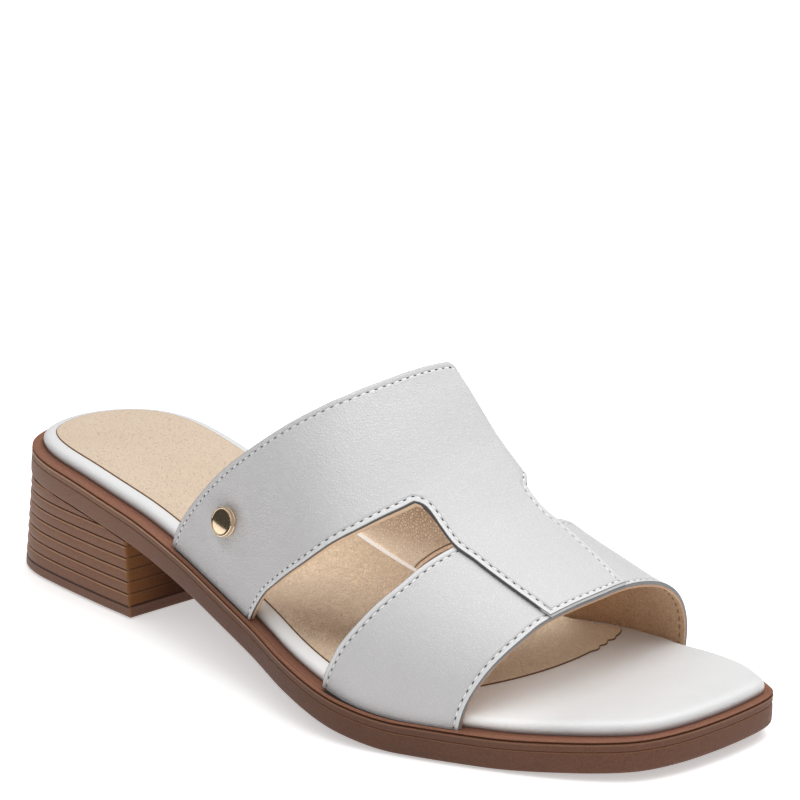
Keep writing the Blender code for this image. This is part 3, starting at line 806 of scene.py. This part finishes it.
def stack(us, vs, levels):
    """Solid swept upwards through levels: its bmesh, its points' shares and their places on the grid."""
    bm, share = share_grid(us, vs)
    top = list(bm.faces)
    for index in range(1, len(levels)):
        top, raised = raise_faces(bm, top)
        for vert in raised:
            vert[share].z = index
    shares = np.array([vert[share] for vert in bm.verts])
    points = np.empty((len(shares), 3))
    for index, level in enumerate(levels):
        here = np.isclose(shares[:, 2], index)
        points[here] = level(shares[here, 0], shares[here, 1])
    move_to(bm, points)
    return bm, shares, points


def move_to(bm, points):
    """Put every point of a bmesh at its place on the shoe's grid."""
    for vert, point in zip(bm.verts, to_world(points)):
        vert.co = point


def paint(bm, name, values):
    """Give the points of a bmesh a value that its finish reads."""
    layer = bm.verts.layers.float.new(name)
    for vert, value in zip(bm.verts, values):
        vert[layer] = float(value)


def finish_piece(bm, name, materials, replaces=(), sharp=38):
    """New piece from a bmesh, shaded smooth between its sharp edges, riding on the one body."""
    bmesh.ops.recalc_face_normals(bm, faces=bm.faces)
    mesh = bpy.data.meshes.new(name)
    bm.to_mesh(mesh)
    bm.free()
    for material in materials:
        mesh.materials.append(material)
    mesh.shade_smooth()
    mesh.set_sharp_from_angle(angle=math.radians(sharp))
    piece = bpy.data.objects.new(name, mesh)
    bpy.context.scene.collection.objects.link(piece)
    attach(piece, "root")
    if replaces:
        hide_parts(*replaces)
    return piece


def spread(count, start=(), end=()):
    """Shares from 0 to 1, evenly spaced, with extra ones close to each end."""
    low, high = 1.3 * max(start, default=0.0), 1 - 1.3 * max(end, default=0.0)
    inner = [share for share in np.linspace(0, 1, count + 1) if low < share < high]
    return np.array([0.0, *start, *inner, *(1 - share for share in reversed(end)), 1.0])


# ---- sole


def strap_feet(x, y):
    """1 beside the stretches of the welt where a strap comes down, else 0."""
    found = 0.0
    for angle, side in ((0.0, y < 0), (180.0, y >= 0)):
        for rear, front in ((rear_edge, waist_edge), (strap_rear, strap_front)):
            found = found + side * (x > rear(angle) + FOOT_REAR) * (x < front(angle) - FOOT_FRONT)
    return found


def make_band():
    """Moulded outsole band with its welt ledge and side grooves."""
    # The finish knows the welt's top by a drop below zero, which is how far in it is.
    steps = [(inset, drop, -inset) for inset, drop in WELT_TOP]
    steps += [(inset, drop, drop) for inset, drop in BAND_SIDE]
    steps.reverse()
    levels = [sole_level(RIM, inset, BAND_HEIGHT - drop) for inset, drop, _ in steps]
    bm, shares, points = stack(np.linspace(0, 1, 221), (0.0, 0.5, 1.0), levels)
    paint(bm, "drop", [steps[round(level)][2] for level in shares[:, 2]])
    # Marks where the band's finish paints the shadow under each strap's foot.
    paint(bm, "foot", strap_feet(points[:, 0], points[:, 1]))
    return finish_piece(bm, "outsole_band", [band_rubber()], ["outsole"])


def breast_x(y, z):
    """Where the front face of the heel stands."""
    return BREAST_X + BREAST_SKEW * (y - BREAST_Y) - BREAST_LEAN * z


def heel_levels(heights, relief):
    """Levels of the heel, each held down to the band's underside and moved in by relief."""
    ends = [
        cut_shares(lambda y: breast_x(y, z), lambda share: rim_point(share, RIM, HEEL_INSET, flare_at(z)))
        for z in BREAST_HEIGHTS
    ]
    lateral, medial = zip(*ends)

    def spot(u, v, z):
        inset = HEEL_INSET + relief(z)
        left = rim_point(u * np.interp(z, BREAST_HEIGHTS, lateral), RIM, inset, flare_at(z))
        right = rim_point(1 - u * (1 - np.interp(z, BREAST_HEIGHTS, medial)), RIM, inset, flare_at(z))
        x, y = between(left, right, v)
        return np.where(u > 1 - 1e-4, breast_x(y, z) - 0.3 * relief(z), x), y

    def level(z):
        def place(u, v):
            height = np.full(np.shape(u), float(z))
            for _ in range(8):
                x, y = spot(u, v, height)
                height = np.minimum(z, underside(x) - TOUCH)
            return np.stack([x, y, height], axis=-1)

        return place

    return [level(z) for z in heights]


def lift_relief(z):
    """Depth of the heel's side: a cut at every lift, and a slight belly between cuts."""
    off = z - np.round(z / LIFT_PITCH) * LIFT_PITCH
    cut = np.where(z > FIRST_CUT, LIFT_CUT * zone(off, *LIFT_CUT_ZONE), 0.0)
    return cut + LIFT_BELLY * np.cos(math.tau * z / LIFT_PITCH)


def wear_relief(z):
    """Depth of the wear piece's side: rounded below, and cut in at its joint with the heel."""
    return 0.7 * (1 - smoothstep(0.0, 0.9, z)) ** 1.5 + 0.3 * smoothstep(TOP_PIECE - 0.25, TOP_PIECE, z)


def heel_marks(shares):
    """How much of the breast face, and of its two corners, each point of the heel has."""
    breast = smoothstep(0.9985, 0.9995, shares[:, 0])
    return breast, breast * (1 - zone(shares[:, 1], 0.0, 0.02, 0.98, 1.0))


HEEL_ROWS = spread(110, end=(0.002, 0.006))
HEEL_COLUMNS = spread(12, start=(0.008, 0.02), end=(0.008, 0.02))


def make_heel():
    """Stacked heel with a cut at every lift, running out under the band."""
    heights = [TOP_PIECE + TOUCH, TOP_PIECE + 0.5, 5.2]
    heights += [lift * LIFT_PITCH + row for lift in range(2, LIFT_COUNT) for row in LIFT_ROWS]
    bm, shares, _ = stack(HEEL_ROWS, HEEL_COLUMNS, heel_levels(heights, lift_relief))
    breast, corner = heel_marks(shares)
    paint(bm, "breast", breast)
    paint(bm, "corner", corner)
    # Painted light on the breast face, towards its corners.
    paint(bm, "glow", 1 - zone(shares[:, 1], 0.0, 0.3, 0.7, 1.0))
    bmesh.ops.remove_doubles(bm, verts=bm.verts, dist=0.012 * METRE)
    bmesh.ops.dissolve_degenerate(bm, edges=bm.edges, dist=0.005 * METRE)
    return finish_piece(bm, "stacked_heel", [heel_rubber()], ["heel_block"])


def make_wear_piece():
    """Wear piece under the heel, with a rounded lower edge."""
    heights = [0.0, 0.05, 0.15, 0.3, 0.5, 0.75, 1.0, 2.0, 3.0, 3.2, 3.3, 3.4, TOP_PIECE]
    bm, shares, _ = stack(HEEL_ROWS, HEEL_COLUMNS, heel_levels(heights, wear_relief))
    paint(bm, "corner", heel_marks(shares)[1])
    return finish_piece(bm, "heel_wear_piece", [wear_rubber()], ["heel_top_piece"])


def footbed_level(inset, height):
    """Level of the footbed, whose edge is pressed square where the toe strap comes down on it."""
    rolled = sole_level(SHELF, inset, BAND_HEIGHT + height)
    square = sole_level(SHELF, PRESSED_ROLL * inset, BAND_HEIGHT + height)

    def place(u, v):
        free = rolled(u, v)
        share = zone(free[..., 0], *PRESSED_ZONE) * (free[..., 1] > PRESSED_FROM_Y)
        return free + (square(u, v) - free) * share[..., None]

    return place


def make_footbed():
    """Footbed wrapped in white leather, its edge rolled over."""
    levels = [footbed_level(inset, height) for inset, height in FOOTBED_ROLL]
    bm, _, points = stack(np.linspace(0, 1, 201), (0.0, 0.5, 1.0), levels)
    x, y = points[:, 0], points[:, 1]
    over = points[:, 2] - underside(x) - BAND_HEIGHT
    points[:, 2] += TOE_SWELL * over * smoothstep(*TOE_SWELL_ZONE, x)
    move_to(bm, points)
    # Painted light: the footbed is paler along its waists and before the toe strap.
    waist = zone(x, 85.0, 110.0, 165.0, 180.0) * (y > 0)
    outer_waist = zone(x, 126.0, 138.0, 170.0, 180.0) * (y < 0)
    front = zone(x, 178.0, 186.0, 196.0, 222.0) * (1 - smoothstep(-6.0, 18.0, y))
    # Height over the welt, which the finish uses for painted shade low on the rolled edge.
    paint(bm, "over", over)
    paint(bm, "painted_light", waist + front + 0.62 * outer_waist)
    # Painted light: the medial waist glows.
    paint(bm, "lit", waist)
    # Painted reflection of the tan lining beside the panel's lateral foot.
    paint(bm, "painted_warm_reflection", hump(x, 124.0, 4.0) * (y < 0))
    return finish_piece(bm, "wrapped_footbed", [footbed_leather()], ["footbed"])


def sock_front(y):
    """Front line of the sock: straight, pinked in three scallops, then rounded at its medial tip."""
    along = np.clip(y - PINK_FROM, 0, 2 * PINK_PITCH)
    wave = np.abs(np.sin(math.pi * (y - PINK_FROM) / PINK_PITCH))
    over = np.clip(y - (SOCK_TIP_Y - SOCK_TIP_ROUND), 0, SOCK_TIP_ROUND)
    tip = SOCK_TIP_ROUND - np.sqrt(SOCK_TIP_ROUND**2 - over**2)
    bow = np.clip(SOCK_FRONT_Y - y, 0, None) ** 2 / SOCK_FRONT_BOW
    return SOCK_FRONT_X - PINK_DROP * along + PINK_DEPTH * zone(y, *PINK_ZONE) * wave - tip - bow


def sock_level(inset, height):
    """Level of the sock, which spreads to the toe strap's wall on the medial side."""

    def front(y):
        return sock_front(y) - inset

    def side(share):
        close = rim_point(share, SHELF, SOCK_INSET + inset)
        wide = rim_point(share, SHELF, SOCK_SPREAD + inset)
        return between(close, wide, smoothstep(*SOCK_SPREAD_ZONE, close[0]) * (close[1] > 0))

    lateral, medial = cut_shares(front, side)

    def place(u, v):
        x, y = between(side(u * lateral), side(1 - u * (1 - medial)), v)
        x = x + (front(y) - x) * smoothstep(0.9, 1.0, u)
        return np.stack([x, y, underside(x) + BAND_HEIGHT + height], axis=-1)

    return place


def make_sock():
    """Tan leather sock with a dark cut edge, softly creased where the foot bends, with painted light and a
    crease of painted shade.
    """
    levels = [sock_level(inset, height) for inset, height in SOCK_SIDE]
    rows, columns = spread(150, end=(0.002, 0.005)), spread(130, end=(0.001, 0.0025, 0.005))
    bm, shares, points = stack(rows, columns, levels)
    x, y = points[:, 0], points[:, 1]
    inside = zone(shares[:, 1], 0.0, 0.08, 0.92, 1.0) * (1 - smoothstep(0.97, 1.0, shares[:, 0]))
    folds = np.sin(0.62 * x + 0.25 * y + 2.2 * np.sin(0.11 * y)) * hump(x, 166.0, 16.0) * hump(y, -6.0, 20.0)
    swell = np.sin(0.19 * x + 0.13 * y) * np.cos(0.17 * y - 0.05 * x)
    points[:, 2] += (shares[:, 2] > 0.5) * inside * (0.14 * folds + 0.10 * swell)
    move_to(bm, points)
    # Painted light on the sock: lighter and glowing behind the instep panel and inside the cut-outs, most
    # towards the medial side.
    ahead, inner, front = smoothstep(84.0, 122.0, x), smoothstep(-28.0, 4.0, y), smoothstep(168.0, 184.0, x)
    rim = hump(y, -41.0, 6.0)
    side = 0.15 + 0.85 * inner + 0.5 * rim
    near = hump(x, 117.0, 9.0) * smoothstep(-38.0, -22.0, y)
    paint(bm, "cut", shares[:, 2] < 3.5)
    paint(bm, "bend_and_painted_light", np.clip(ahead * (side + (0.85 - side) * front) + 0.35 * near, 0, 1))
    paint(bm, "lit", np.clip(ahead * ((inner + 0.3 * rim) * (1 - front) + 0.24 * front) + 0.5 * near, 0, 1))
    # Painted shade along a crease towards the lateral side.
    paint(bm, "crease_and_painted_shade", hump(y, -31.0 + 0.4 * (x - 136.0), 8.5) * zone(x, 118.0, 142.0, 154.0, 166.0))
    return finish_piece(bm, "sock_leather", [sock_leather()], ["sock"])


# ---- upper


def bar_rise(x):
    """How far the instep panel has risen to pass over the toe strap."""
    return BAR_LIFT * smoothstep(*BAR_LIFT_ZONE, x)


def slant(point):
    """How far to go off an edge for each millimetre away from it, where point(off, on) is near it."""
    step = (point(NUDGE, 0) - point(-NUDGE, 0)) / (2 * NUDGE)
    along = unit(point(0, NUDGE) - point(0, -NUDGE))
    return 1 / np.linalg.norm(step - dot(step, along) * along, axis=-1)


def edge_slant(edge, angle, lift):
    """x to go for each millimetre away from a strap edge, at every angle."""
    return slant(lambda off, on: wall_point(edge(angle + on) + off, angle + on, lift))


def side_slant(side, x, lift):
    """Degrees to go for each millimetre away from a bar side, at every x."""
    return slant(lambda off, on: wall_point(x + on, side(x + on) + off, lift))


def rows_between(slant_at, low, high, at, lift, middle):
    """Places from one edge to another: fixed distances near each of them, even ones between."""
    near = low(at)[:, None] + slant_at(low, at, lift)[:, None] * EDGE_STEPS
    far = high(at)[:, None] - slant_at(high, at, lift)[:, None] * EDGE_STEPS[::-1]
    share = np.linspace(0, 1, middle + 2)[1:-1]
    inner = near[:, -1:] + (far[:, :1] - near[:, -1:]) * share
    return np.concatenate([near, inner, far], axis=1)


def angles_from(low, high, spacing, lift, edge):
    """Angles from low to high, about spacing millimetres apart along an edge."""
    fine = np.linspace(low, high, 600)
    length = lengths(wall_point(edge(fine), fine, lift))
    count = int(round(length[-1] / spacing))
    return np.interp(np.linspace(0, length[-1], count + 1), length, fine)


def edge_distance(points, lines):
    """Distance of every point from the nearest of the edge lines, in millimetres."""
    corners = np.concatenate(lines)
    tree = KDTree(len(corners))
    for index, corner in enumerate(corners):
        tree.insert(corner, index)
    tree.balance()
    nearest = np.array([tree.find(point)[1] for point in points])
    ends = np.cumsum([len(line) for line in lines])
    starts = np.append(0, ends[:-1])
    line_of = np.searchsorted(ends, nearest, side="right")
    away = points - corners[nearest]
    best = np.linalg.norm(away, axis=1)
    for step in (-1, 1):
        other = np.clip(nearest + step, starts[line_of], ends[line_of] - 1)
        run = corners[other] - corners[nearest]
        share = np.clip(dot(away, run) / np.maximum(dot(run, run), 1e-12), 0, 1)
        best = np.minimum(best, np.linalg.norm(away - run * share, axis=1))
    return best


def roll_down(distance, radius):
    """Drop of a rounded corner of a radius at a distance from the edge."""
    inner = np.clip(1 - distance / radius, 0, 1)
    return radius * (1 - np.sqrt(1 - inner * inner))


def leather_relief(distance):
    """Height of the leather over its plain face: rolled edge, pillow, thread trough."""
    trough = TROUGH_DEPTH * hump(distance, SEAM_INSET, TROUGH_WIDTH)
    pillow = PILLOW * (hump(distance, 0.72, 0.4) + hump(distance, 2.1, 0.5))
    return pillow - trough - roll_down(distance, EDGE_ROLL)


def even(height):
    """The same height at every spot."""
    return lambda x, angle: np.full(np.shape(x), height)


def spot_grid(angles, xs):
    """Flat layout of a strap, whose points stand at their spots and carry their column and row."""
    bm, share = share_grid(np.arange(len(angles)), np.arange(xs.shape[1]))
    for vert in bm.verts:
        column, row, _ = map(round, vert[share])
        vert.co = (xs[column][row], angles[column], 0)
    return bm, share


def leather_piece(bm, name, materials, inner, outer, lines, creases=even(0.0), skirt=even(0.0), replaces=()):
    """Leather wall with a lining over a flat layout of spots, with worked edges along the lines."""
    _, raised = raise_faces(bm, list(bm.faces))
    raised = set(raised)
    for vert in bm.verts:
        vert.co.z = 0.0 if vert in raised else 1.0
    walls = [edge for edge in bm.edges if (edge.verts[0] in raised) != (edge.verts[1] in raised)]
    bmesh.ops.subdivide_edges(bm, edges=walls, cuts=WALL_CUTS, use_grid_fill=False)
    x, angle, depth = np.array([vert.co for vert in bm.verts]).T
    for face in bm.faces:
        depths = [vert.co.z for vert in face.verts]
        face.material_index = 0 if max(depths) < 0.01 else 2 if min(depths) > 0.99 else 1
    high, low = outer(x, angle), inner(x, angle)
    distance = edge_distance(wall_point(x, angle, high), lines)
    angle = angle - depth * skirt(x, angle) * np.exp(-((distance / 1.5) ** 2))
    folds = creases(x, angle) * smoothstep(1.5, 5.0, distance)
    top = high + leather_relief(distance) + folds
    base = low + roll_down(distance, LINING_ROLL) + folds
    lift = top + (base - top) * depth
    move_to(bm, wall_point(x, angle, lift))
    # The finishes tell the waist's edge from the rear one by which of them is nearer.
    ahead = x - (rear_edge(angle) + waist_edge(angle)) / 2
    lateral = (1.12 - 0.12 * smoothstep(30.0, 55.0, angle)) * (angle < 60.0) * (ahead > 0)
    hanging = 1 - smoothstep(6.0, 50.0, np.minimum(angle, 180.0 - angle))
    paint(bm, "depth", depth)
    paint(bm, "from_edge", distance)
    paint(bm, "below", (high - lift) * lateral)
    paint(bm, "pale", smoothstep(-1.0, 1.0, ahead) * (0.42 - 0.3 * smoothstep(88.0, 94.0, angle)))
    # Painted shade low on the walls, near the welt, weaker on the toe strap.
    paint(bm, "low", hanging * (1 - 0.4 * smoothstep(150.0, 165.0, x)))
    return finish_piece(bm, name, materials, replaces, sharp=50)


def bar_angles(x):
    """Angles of the bar's columns at each x."""
    return rows_between(side_slant, bar_lateral, bar_medial, x, BAR_THICK, BAR_ROWS)


def bar_front(angle):
    """Front edge of the bar, which stands a little ahead of the toe strap's."""
    return strap_front(angle) + BAR_FRONT_PROUD


def panel_outer(x, angle):
    """Outer face of the instep panel."""
    return PANEL_THICK + bar_rise(x)


def panel_inner(x, angle):
    """Inner face of the instep panel, which rises over the rear edge of the toe strap."""
    start = strap_rear(angle)
    on_bar = zone(angle, BAR_ROOT[0] - 6, BAR_ROOT[0], BAR_ROOT[1], BAR_ROOT[1] + 6)
    return on_bar * (STRAP_THICK + 0.03) * smoothstep(start - 9, start - 0.5, x)


def bar_skirt(x, angle):
    """Degrees by which the foot of the bar's lateral side stands out from its top."""
    return BAR_SKIRT * hump(angle, bar_lateral(x), 4.0) * zone(x, *BAR_SKIRT_ZONE)


def panel_lines():
    """Edge lines of the instep panel, as points on its outer face."""
    every = np.linspace(0, 180, 2400)
    lines = [wall_point(rear_edge(every), every, PANEL_THICK)]
    for side, root, welt in ((bar_lateral, BAR_ROOT[0], 0.0), (bar_medial, BAR_ROOT[1], 180.0)):
        angles = np.linspace(welt, root, 900)
        waist = waist_edge(angles)
        along = np.linspace(waist[-1], bar_front(side(210.0)), 600)
        x, angles = np.append(waist, along), np.append(angles, side(along))
        lines.append(wall_point(x, angles, panel_outer(x, angles)))
    angles = np.linspace(bar_lateral(208.0), bar_medial(211.0), 500)
    lines.append(wall_point(bar_front(angles), angles, BAR_THICK))
    return lines


def panel_creases(x, angle):
    """Soft unevenness of the instep panel's leather, which is pulled down and leans round the stud."""
    slow = 0.16 * np.sin(0.075 * x + 0.035 * angle) * np.sin(0.045 * angle + 0.6)
    along, up = x - STUD_X, (angle - STUD_ANGLE) * STUD_ARC
    away = np.hypot(along, up)
    ring = np.exp(-((np.clip(away - 3.0, 0, None) / 3.2) ** 2))
    pull = STUD_PULL * (0.75 - 0.25 * np.cos(2 * np.arctan2(up, along))) * ring
    lean = (STUD_LEAN[0] * along + STUD_LEAN[2] * up) * (1 - smoothstep(4.0, 13.0, away))
    return slow * np.sin(np.radians(angle)) - pull - lean


def bar_column(index, start_angle, share):
    """Spots along the bar in one of its columns, from the panel to the bar's front."""
    start = float(waist_edge(start_angle))
    xs = np.linspace(start, BAR_END, 260)
    settled = bar_angles(xs)[:, index]
    held = bar_lateral(xs) + (bar_medial(xs) - bar_lateral(xs)) * share
    angles = held + (settled - held) * smoothstep(0.0, BAR_SETTLE, xs - start)
    end = float(np.interp(0.0, xs - bar_front(angles), xs))
    steps = edge_slant(bar_front, np.interp([end], xs, angles), BAR_THICK) * EDGE_STEPS[::-1]
    rows = np.append(start + (end - steps[0] - start) * BAR_SHARES, end - steps)
    return np.stack([rows, np.interp(rows, xs, angles)], axis=1)


def make_instep_panel(leather):
    """Broad instep strap with the centre bar that reaches the toe edge."""
    across = bar_angles(np.array([BAR_LATERAL[0][0]]))[0]
    shares = (across - across[0]) / (across[-1] - across[0])
    middle = BAR_ROOT[0] + (BAR_ROOT[1] - BAR_ROOT[0]) * shares
    lateral = angles_from(0.0, BAR_ROOT[0], 0.85, PANEL_THICK, waist_edge)
    medial = angles_from(BAR_ROOT[1], 180.0, 0.85, PANEL_THICK, waist_edge)
    angles = np.concatenate([lateral, middle[1:-1], medial])
    xs = rows_between(edge_slant, rear_edge, waist_edge, angles, PANEL_THICK, PANEL_ROWS)
    bm, share = spot_grid(angles, xs)
    first, last = len(lateral) - 1, len(angles) - len(medial)
    columns = [bar_column(index, *way) for index, way in enumerate(zip(middle, shares))]
    root = {
        vert for vert in bm.verts
        if round(vert[share].y) == xs.shape[1] - 1 and first <= round(vert[share].x) <= last
    }
    row = [edge for edge in bm.edges if root.issuperset(edge.verts)]
    for step in range(len(columns[0])):
        grown = bmesh.ops.extrude_edge_only(bm, edges=row)
        row = of_type(grown, bmesh.types.BMEdge)
        for vert in of_type(grown, bmesh.types.BMVert):
            vert.co = (*columns[round(vert[share].x) - first][step], 0)
    materials = [leather, panel_edge(), bronze_lining()]
    faces = panel_inner, panel_outer, panel_lines(), panel_creases, bar_skirt
    return leather_piece(bm, "instep_panel", materials, *faces, replaces=["upper"])


def make_toe_strap(leather):
    """Toe strap, whole from side to side under the centre bar."""
    angles = angles_from(0.0, 180.0, 0.8, STRAP_THICK, strap_front)
    xs = rows_between(edge_slant, strap_rear, strap_front, angles, STRAP_THICK, STRAP_ROWS)
    bm, _ = spot_grid(angles, xs)
    every = np.linspace(0, 180, 2000)
    lines = [wall_point(edge(every), every, STRAP_THICK) for edge in (strap_rear, strap_front)]
    materials = [leather, strap_edge(), tan_lining()]
    return leather_piece(bm, "toe_strap", materials, even(0.0), even(STRAP_THICK), lines)


# ---- seams


def edge_seam(edge, low, high, inwards, lift):
    """Spots of a seam beside a strap edge, inwards +1 where the leather is towards the toe."""
    angles = np.linspace(low, high, 500)
    return edge(angles) + inwards * SEAM_INSET * edge_slant(edge, angles, lift), angles


def bar_seam(side, low, high, inwards):
    """Spots of a seam beside a bar side, inwards +1 where the leather is at greater angles."""
    x = np.linspace(low, high, 400)
    return x, side(x) + inwards * SEAM_INSET * side_slant(side, x, BAR_THICK)


def join(*seams):
    """One seam from several that follow each other."""
    return tuple(np.concatenate(parts) for parts in zip(*seams))


def panel_seams():
    """Seams of the instep panel: rear edge, then each cut-out with the bar's side, then the bar's front."""
    return (
        edge_seam(rear_edge, 0.6, 179.4, 1, PANEL_THICK),
        join(
            edge_seam(waist_edge, 0.6, BAR_ROOT[0] + 0.3, -1, PANEL_THICK),
            bar_seam(bar_lateral, BAR_LATERAL[0][0] + 0.6, 204.6, 1),
        ),
        join(
            edge_seam(waist_edge, 179.4, BAR_ROOT[1] - 0.3, -1, PANEL_THICK),
            bar_seam(bar_medial, BAR_MEDIAL[0][0] + 0.6, 208.6, -1),
        ),
        edge_seam(bar_front, bar_lateral(206.0) + 2.0, bar_medial(210.0) - 2.0, -1, BAR_THICK),
    )


def strap_seams():
    """Seams of the toe strap, left out where the bar covers it."""
    return (
        edge_seam(strap_rear, 0.6, bar_lateral(178.0) - 0.6, 1, STRAP_THICK),
        edge_seam(strap_rear, bar_medial(185.0) + 0.6, 179.4, 1, STRAP_THICK),
        edge_seam(strap_front, 0.6, bar_lateral(206.0) - 0.4, -1, STRAP_THICK),
        edge_seam(strap_front, bar_medial(210.0) + 0.4, 179.4, -1, STRAP_THICK),
    )


def panel_trough(x, angle):
    """Face of the instep panel in the trough of a seam."""
    return panel_outer(x, angle) - TROUGH_DEPTH


def stations(seam, height):
    """Evenly spaced spots along a seam, at the holes and halfway between them."""
    x, angle = seam
    length = lengths(wall_point(x, angle, height(x, angle)))
    count = max(int(round(length[-1] / STITCH_PITCH)), 1)
    at = np.linspace(0, length[-1], 2 * count + 1)
    return np.interp(at, length, x), np.interp(at, length, angle)


def sew(seams, height, outwards):
    """Placings of the stitches and needle holes of some seams, on an outer (1) or inner (-1) face."""
    threads, holes = [], []
    for seam in seams:
        x, angle = stations(seam, height)
        lift = height(x, angle)
        out = wall_normal(x, angle, lift)
        points = wall_point(x, angle, lift) - out * THREAD_SINK
        normal = out * outwards
        for index in range(1, len(x) - 1, 2):
            threads.append(bead(points[index - 1], points[index + 1], normal[index], THREAD_SIZE))
        for index in range(0, len(x), 2):
            half = (points[min(index + 1, len(x) - 1)] - points[max(index - 1, 0)]) * HOLE_HALF
            holes.append(bead(points[index] - half, points[index] + half, normal[index], HOLE_SIZE))
    return threads, holes


def bead(start, end, normal, size):
    """Placing of a small rounded bead from start to end, lying flat on the surface."""
    share, width, height = size
    start, end = Vector(to_world(start)), Vector(to_world(end))
    along = end - start
    side = Vector(normal).cross(along).normalized()
    out = along.cross(side).normalized()
    turn = Matrix((along.normalized(), side, out)).transposed().to_4x4()
    scale = Matrix.Diagonal((along.length * share / 2, width * METRE, height * METRE, 1.0))
    return Matrix.Translation((start + end) / 2) @ turn @ scale


def make_beads(name, places, material):
    """One piece of many small beads."""
    single = bmesh.new()
    bmesh.ops.create_uvsphere(single, u_segments=8, v_segments=6, radius=1.0)
    mesh = bpy.data.meshes.new("bead")
    single.to_mesh(mesh)
    single.free()
    bm = bmesh.new()
    for _ in places:
        bm.from_mesh(mesh)
    for index, vert in enumerate(bm.verts):
        vert.co = places[index // len(mesh.vertices)] @ vert.co
    bpy.data.meshes.remove(mesh)
    return finish_piece(bm, name, [material])


def make_seams():
    """Topstitching of the straps, its needle holes, and on the lining the toe strap's seams and the instep
    panel's rear seam.
    """
    panel, strap = panel_seams(), strap_seams()
    on_panel = sew(panel, panel_trough, 1)
    on_strap = sew(strap, even(STRAP_THICK - TROUGH_DEPTH), 1)
    in_panel, _ = sew(panel[:1], panel_inner, -1)
    in_strap, _ = sew(strap, even(0.0), -1)
    grey = thread("thread_grey", (0.95, 0.95, 0.945), (0.70, 0.70, 0.70))
    brown = thread("thread_brown", (0.42, 0.26, 0.15), (0.22, 0.12, 0.07))
    make_beads("seam_thread", on_panel[0] + on_strap[0], grey)
    make_beads("needle_holes", on_panel[1] + on_strap[1], needle_hole())
    make_beads("lining_thread", in_panel + in_strap, brown)


# ---- stud


def make_stud():
    """Round metal stud with a raised rim, leaning with the leather under it."""
    bm = bmesh.new()
    verts = [bm.verts.new((radius * METRE, 0, rise * METRE)) for radius, rise in STUD_PROFILE]
    for pair in zip(verts, verts[1:]):
        bm.edges.new(pair)
    whole = {"cent": (0, 0, 0), "axis": (0, 0, 1), "angle": math.tau, "steps": 64, "use_merge": True}
    bmesh.ops.spin(bm, geom=verts + list(bm.edges), **whole)
    bmesh.ops.remove_doubles(bm, verts=bm.verts, dist=1e-6)
    spot = np.array([STUD_X]), np.array([STUD_ANGLE]), PANEL_THICK + TOUCH
    turn = Vector(wall_normal(*spot)[0] + STUD_LEAN).to_track_quat("Z", "Y").to_matrix().to_4x4()
    place = Matrix.Translation(Vector(to_world(wall_point(*spot))[0]))
    bmesh.ops.transform(bm, matrix=place @ turn, verts=bm.verts)
    return finish_piece(bm, "stud_head", [polished_gold()], ["stud"], sharp=30)


# ---- studio


def put(name, data, place, aim):
    """Light or camera at a place, facing along an aim."""
    thing = bpy.data.objects.new(name, data)
    thing.location = place
    thing.rotation_euler = Vector(aim).to_track_quat("-Z", "Y").to_euler()
    bpy.context.scene.collection.objects.link(thing)
    return thing


def make_world():
    """Soft light from above, in front of a white backdrop."""
    world = bpy.data.worlds.new("studio")
    world.use_nodes = True
    nodes = Nodes(world.node_tree)
    rise = nodes.node("SeparateXYZ", {"Vector": nodes.node("TexCoord", output="Generated")}, "Z")
    span = {"From Min": 0.25, "From Max": 0.8, "To Min": 0.07, "To Max": 1.0}
    glow = nodes.node("MapRange", {"Value": rise, **span}, interpolation_type="SMOOTHSTEP")
    # The backdrop behind the floor looks white, however little light it gives.
    strength = glow.maths("MAXIMUM", glow, nodes.node("LightPath", output="Is Camera Ray"))
    sky = world.node_tree.nodes["Background"]
    nodes.feed(sky.inputs["Strength"], strength)
    nodes.feed(sky.inputs["Color"], (1.0, 1.0, 1.0, 1.0))
    return world


def make_studio():
    """Pale floor, soft light and the camera."""
    bpy.ops.mesh.primitive_plane_add(size=6.0, location=(0, 0, -0.0005))
    floor = bpy.context.object
    floor.name = "studio_floor"
    floor.data.materials.append(studio_floor())
    for name, place, size, power in (
        ("key", (0.25, 0.2, 1.1), 0.9, 8.6),
        ("fill", (0.5, -0.9, 0.6), 0.8, 0.45),
    ):
        light = bpy.data.lights.new(name, "AREA")
        light.size = size
        light.energy = power
        put(name, light, place, Vector((0, 0, 0.03)) - Vector(place))
    camera = bpy.data.cameras.new("camera")
    camera.lens = 114.4
    camera.sensor_width = 36.0
    scene = bpy.context.scene
    scene.camera = put("camera", camera, to_world((581.5, -508.7, 296.1)), (-0.6213, 0.7207, -0.3075))
    scene.world = make_world()
    scene.view_settings.view_transform = "Standard"


def main():
    """Build every piece of the sandal and its studio."""
    leather = upper_leather()
    make_studio()
    make_band()
    make_heel()
    make_wear_piece()
    make_footbed()
    make_sock()
    make_instep_panel(leather)
    make_toe_strap(leather)
    make_seams()
    make_stud()


main()
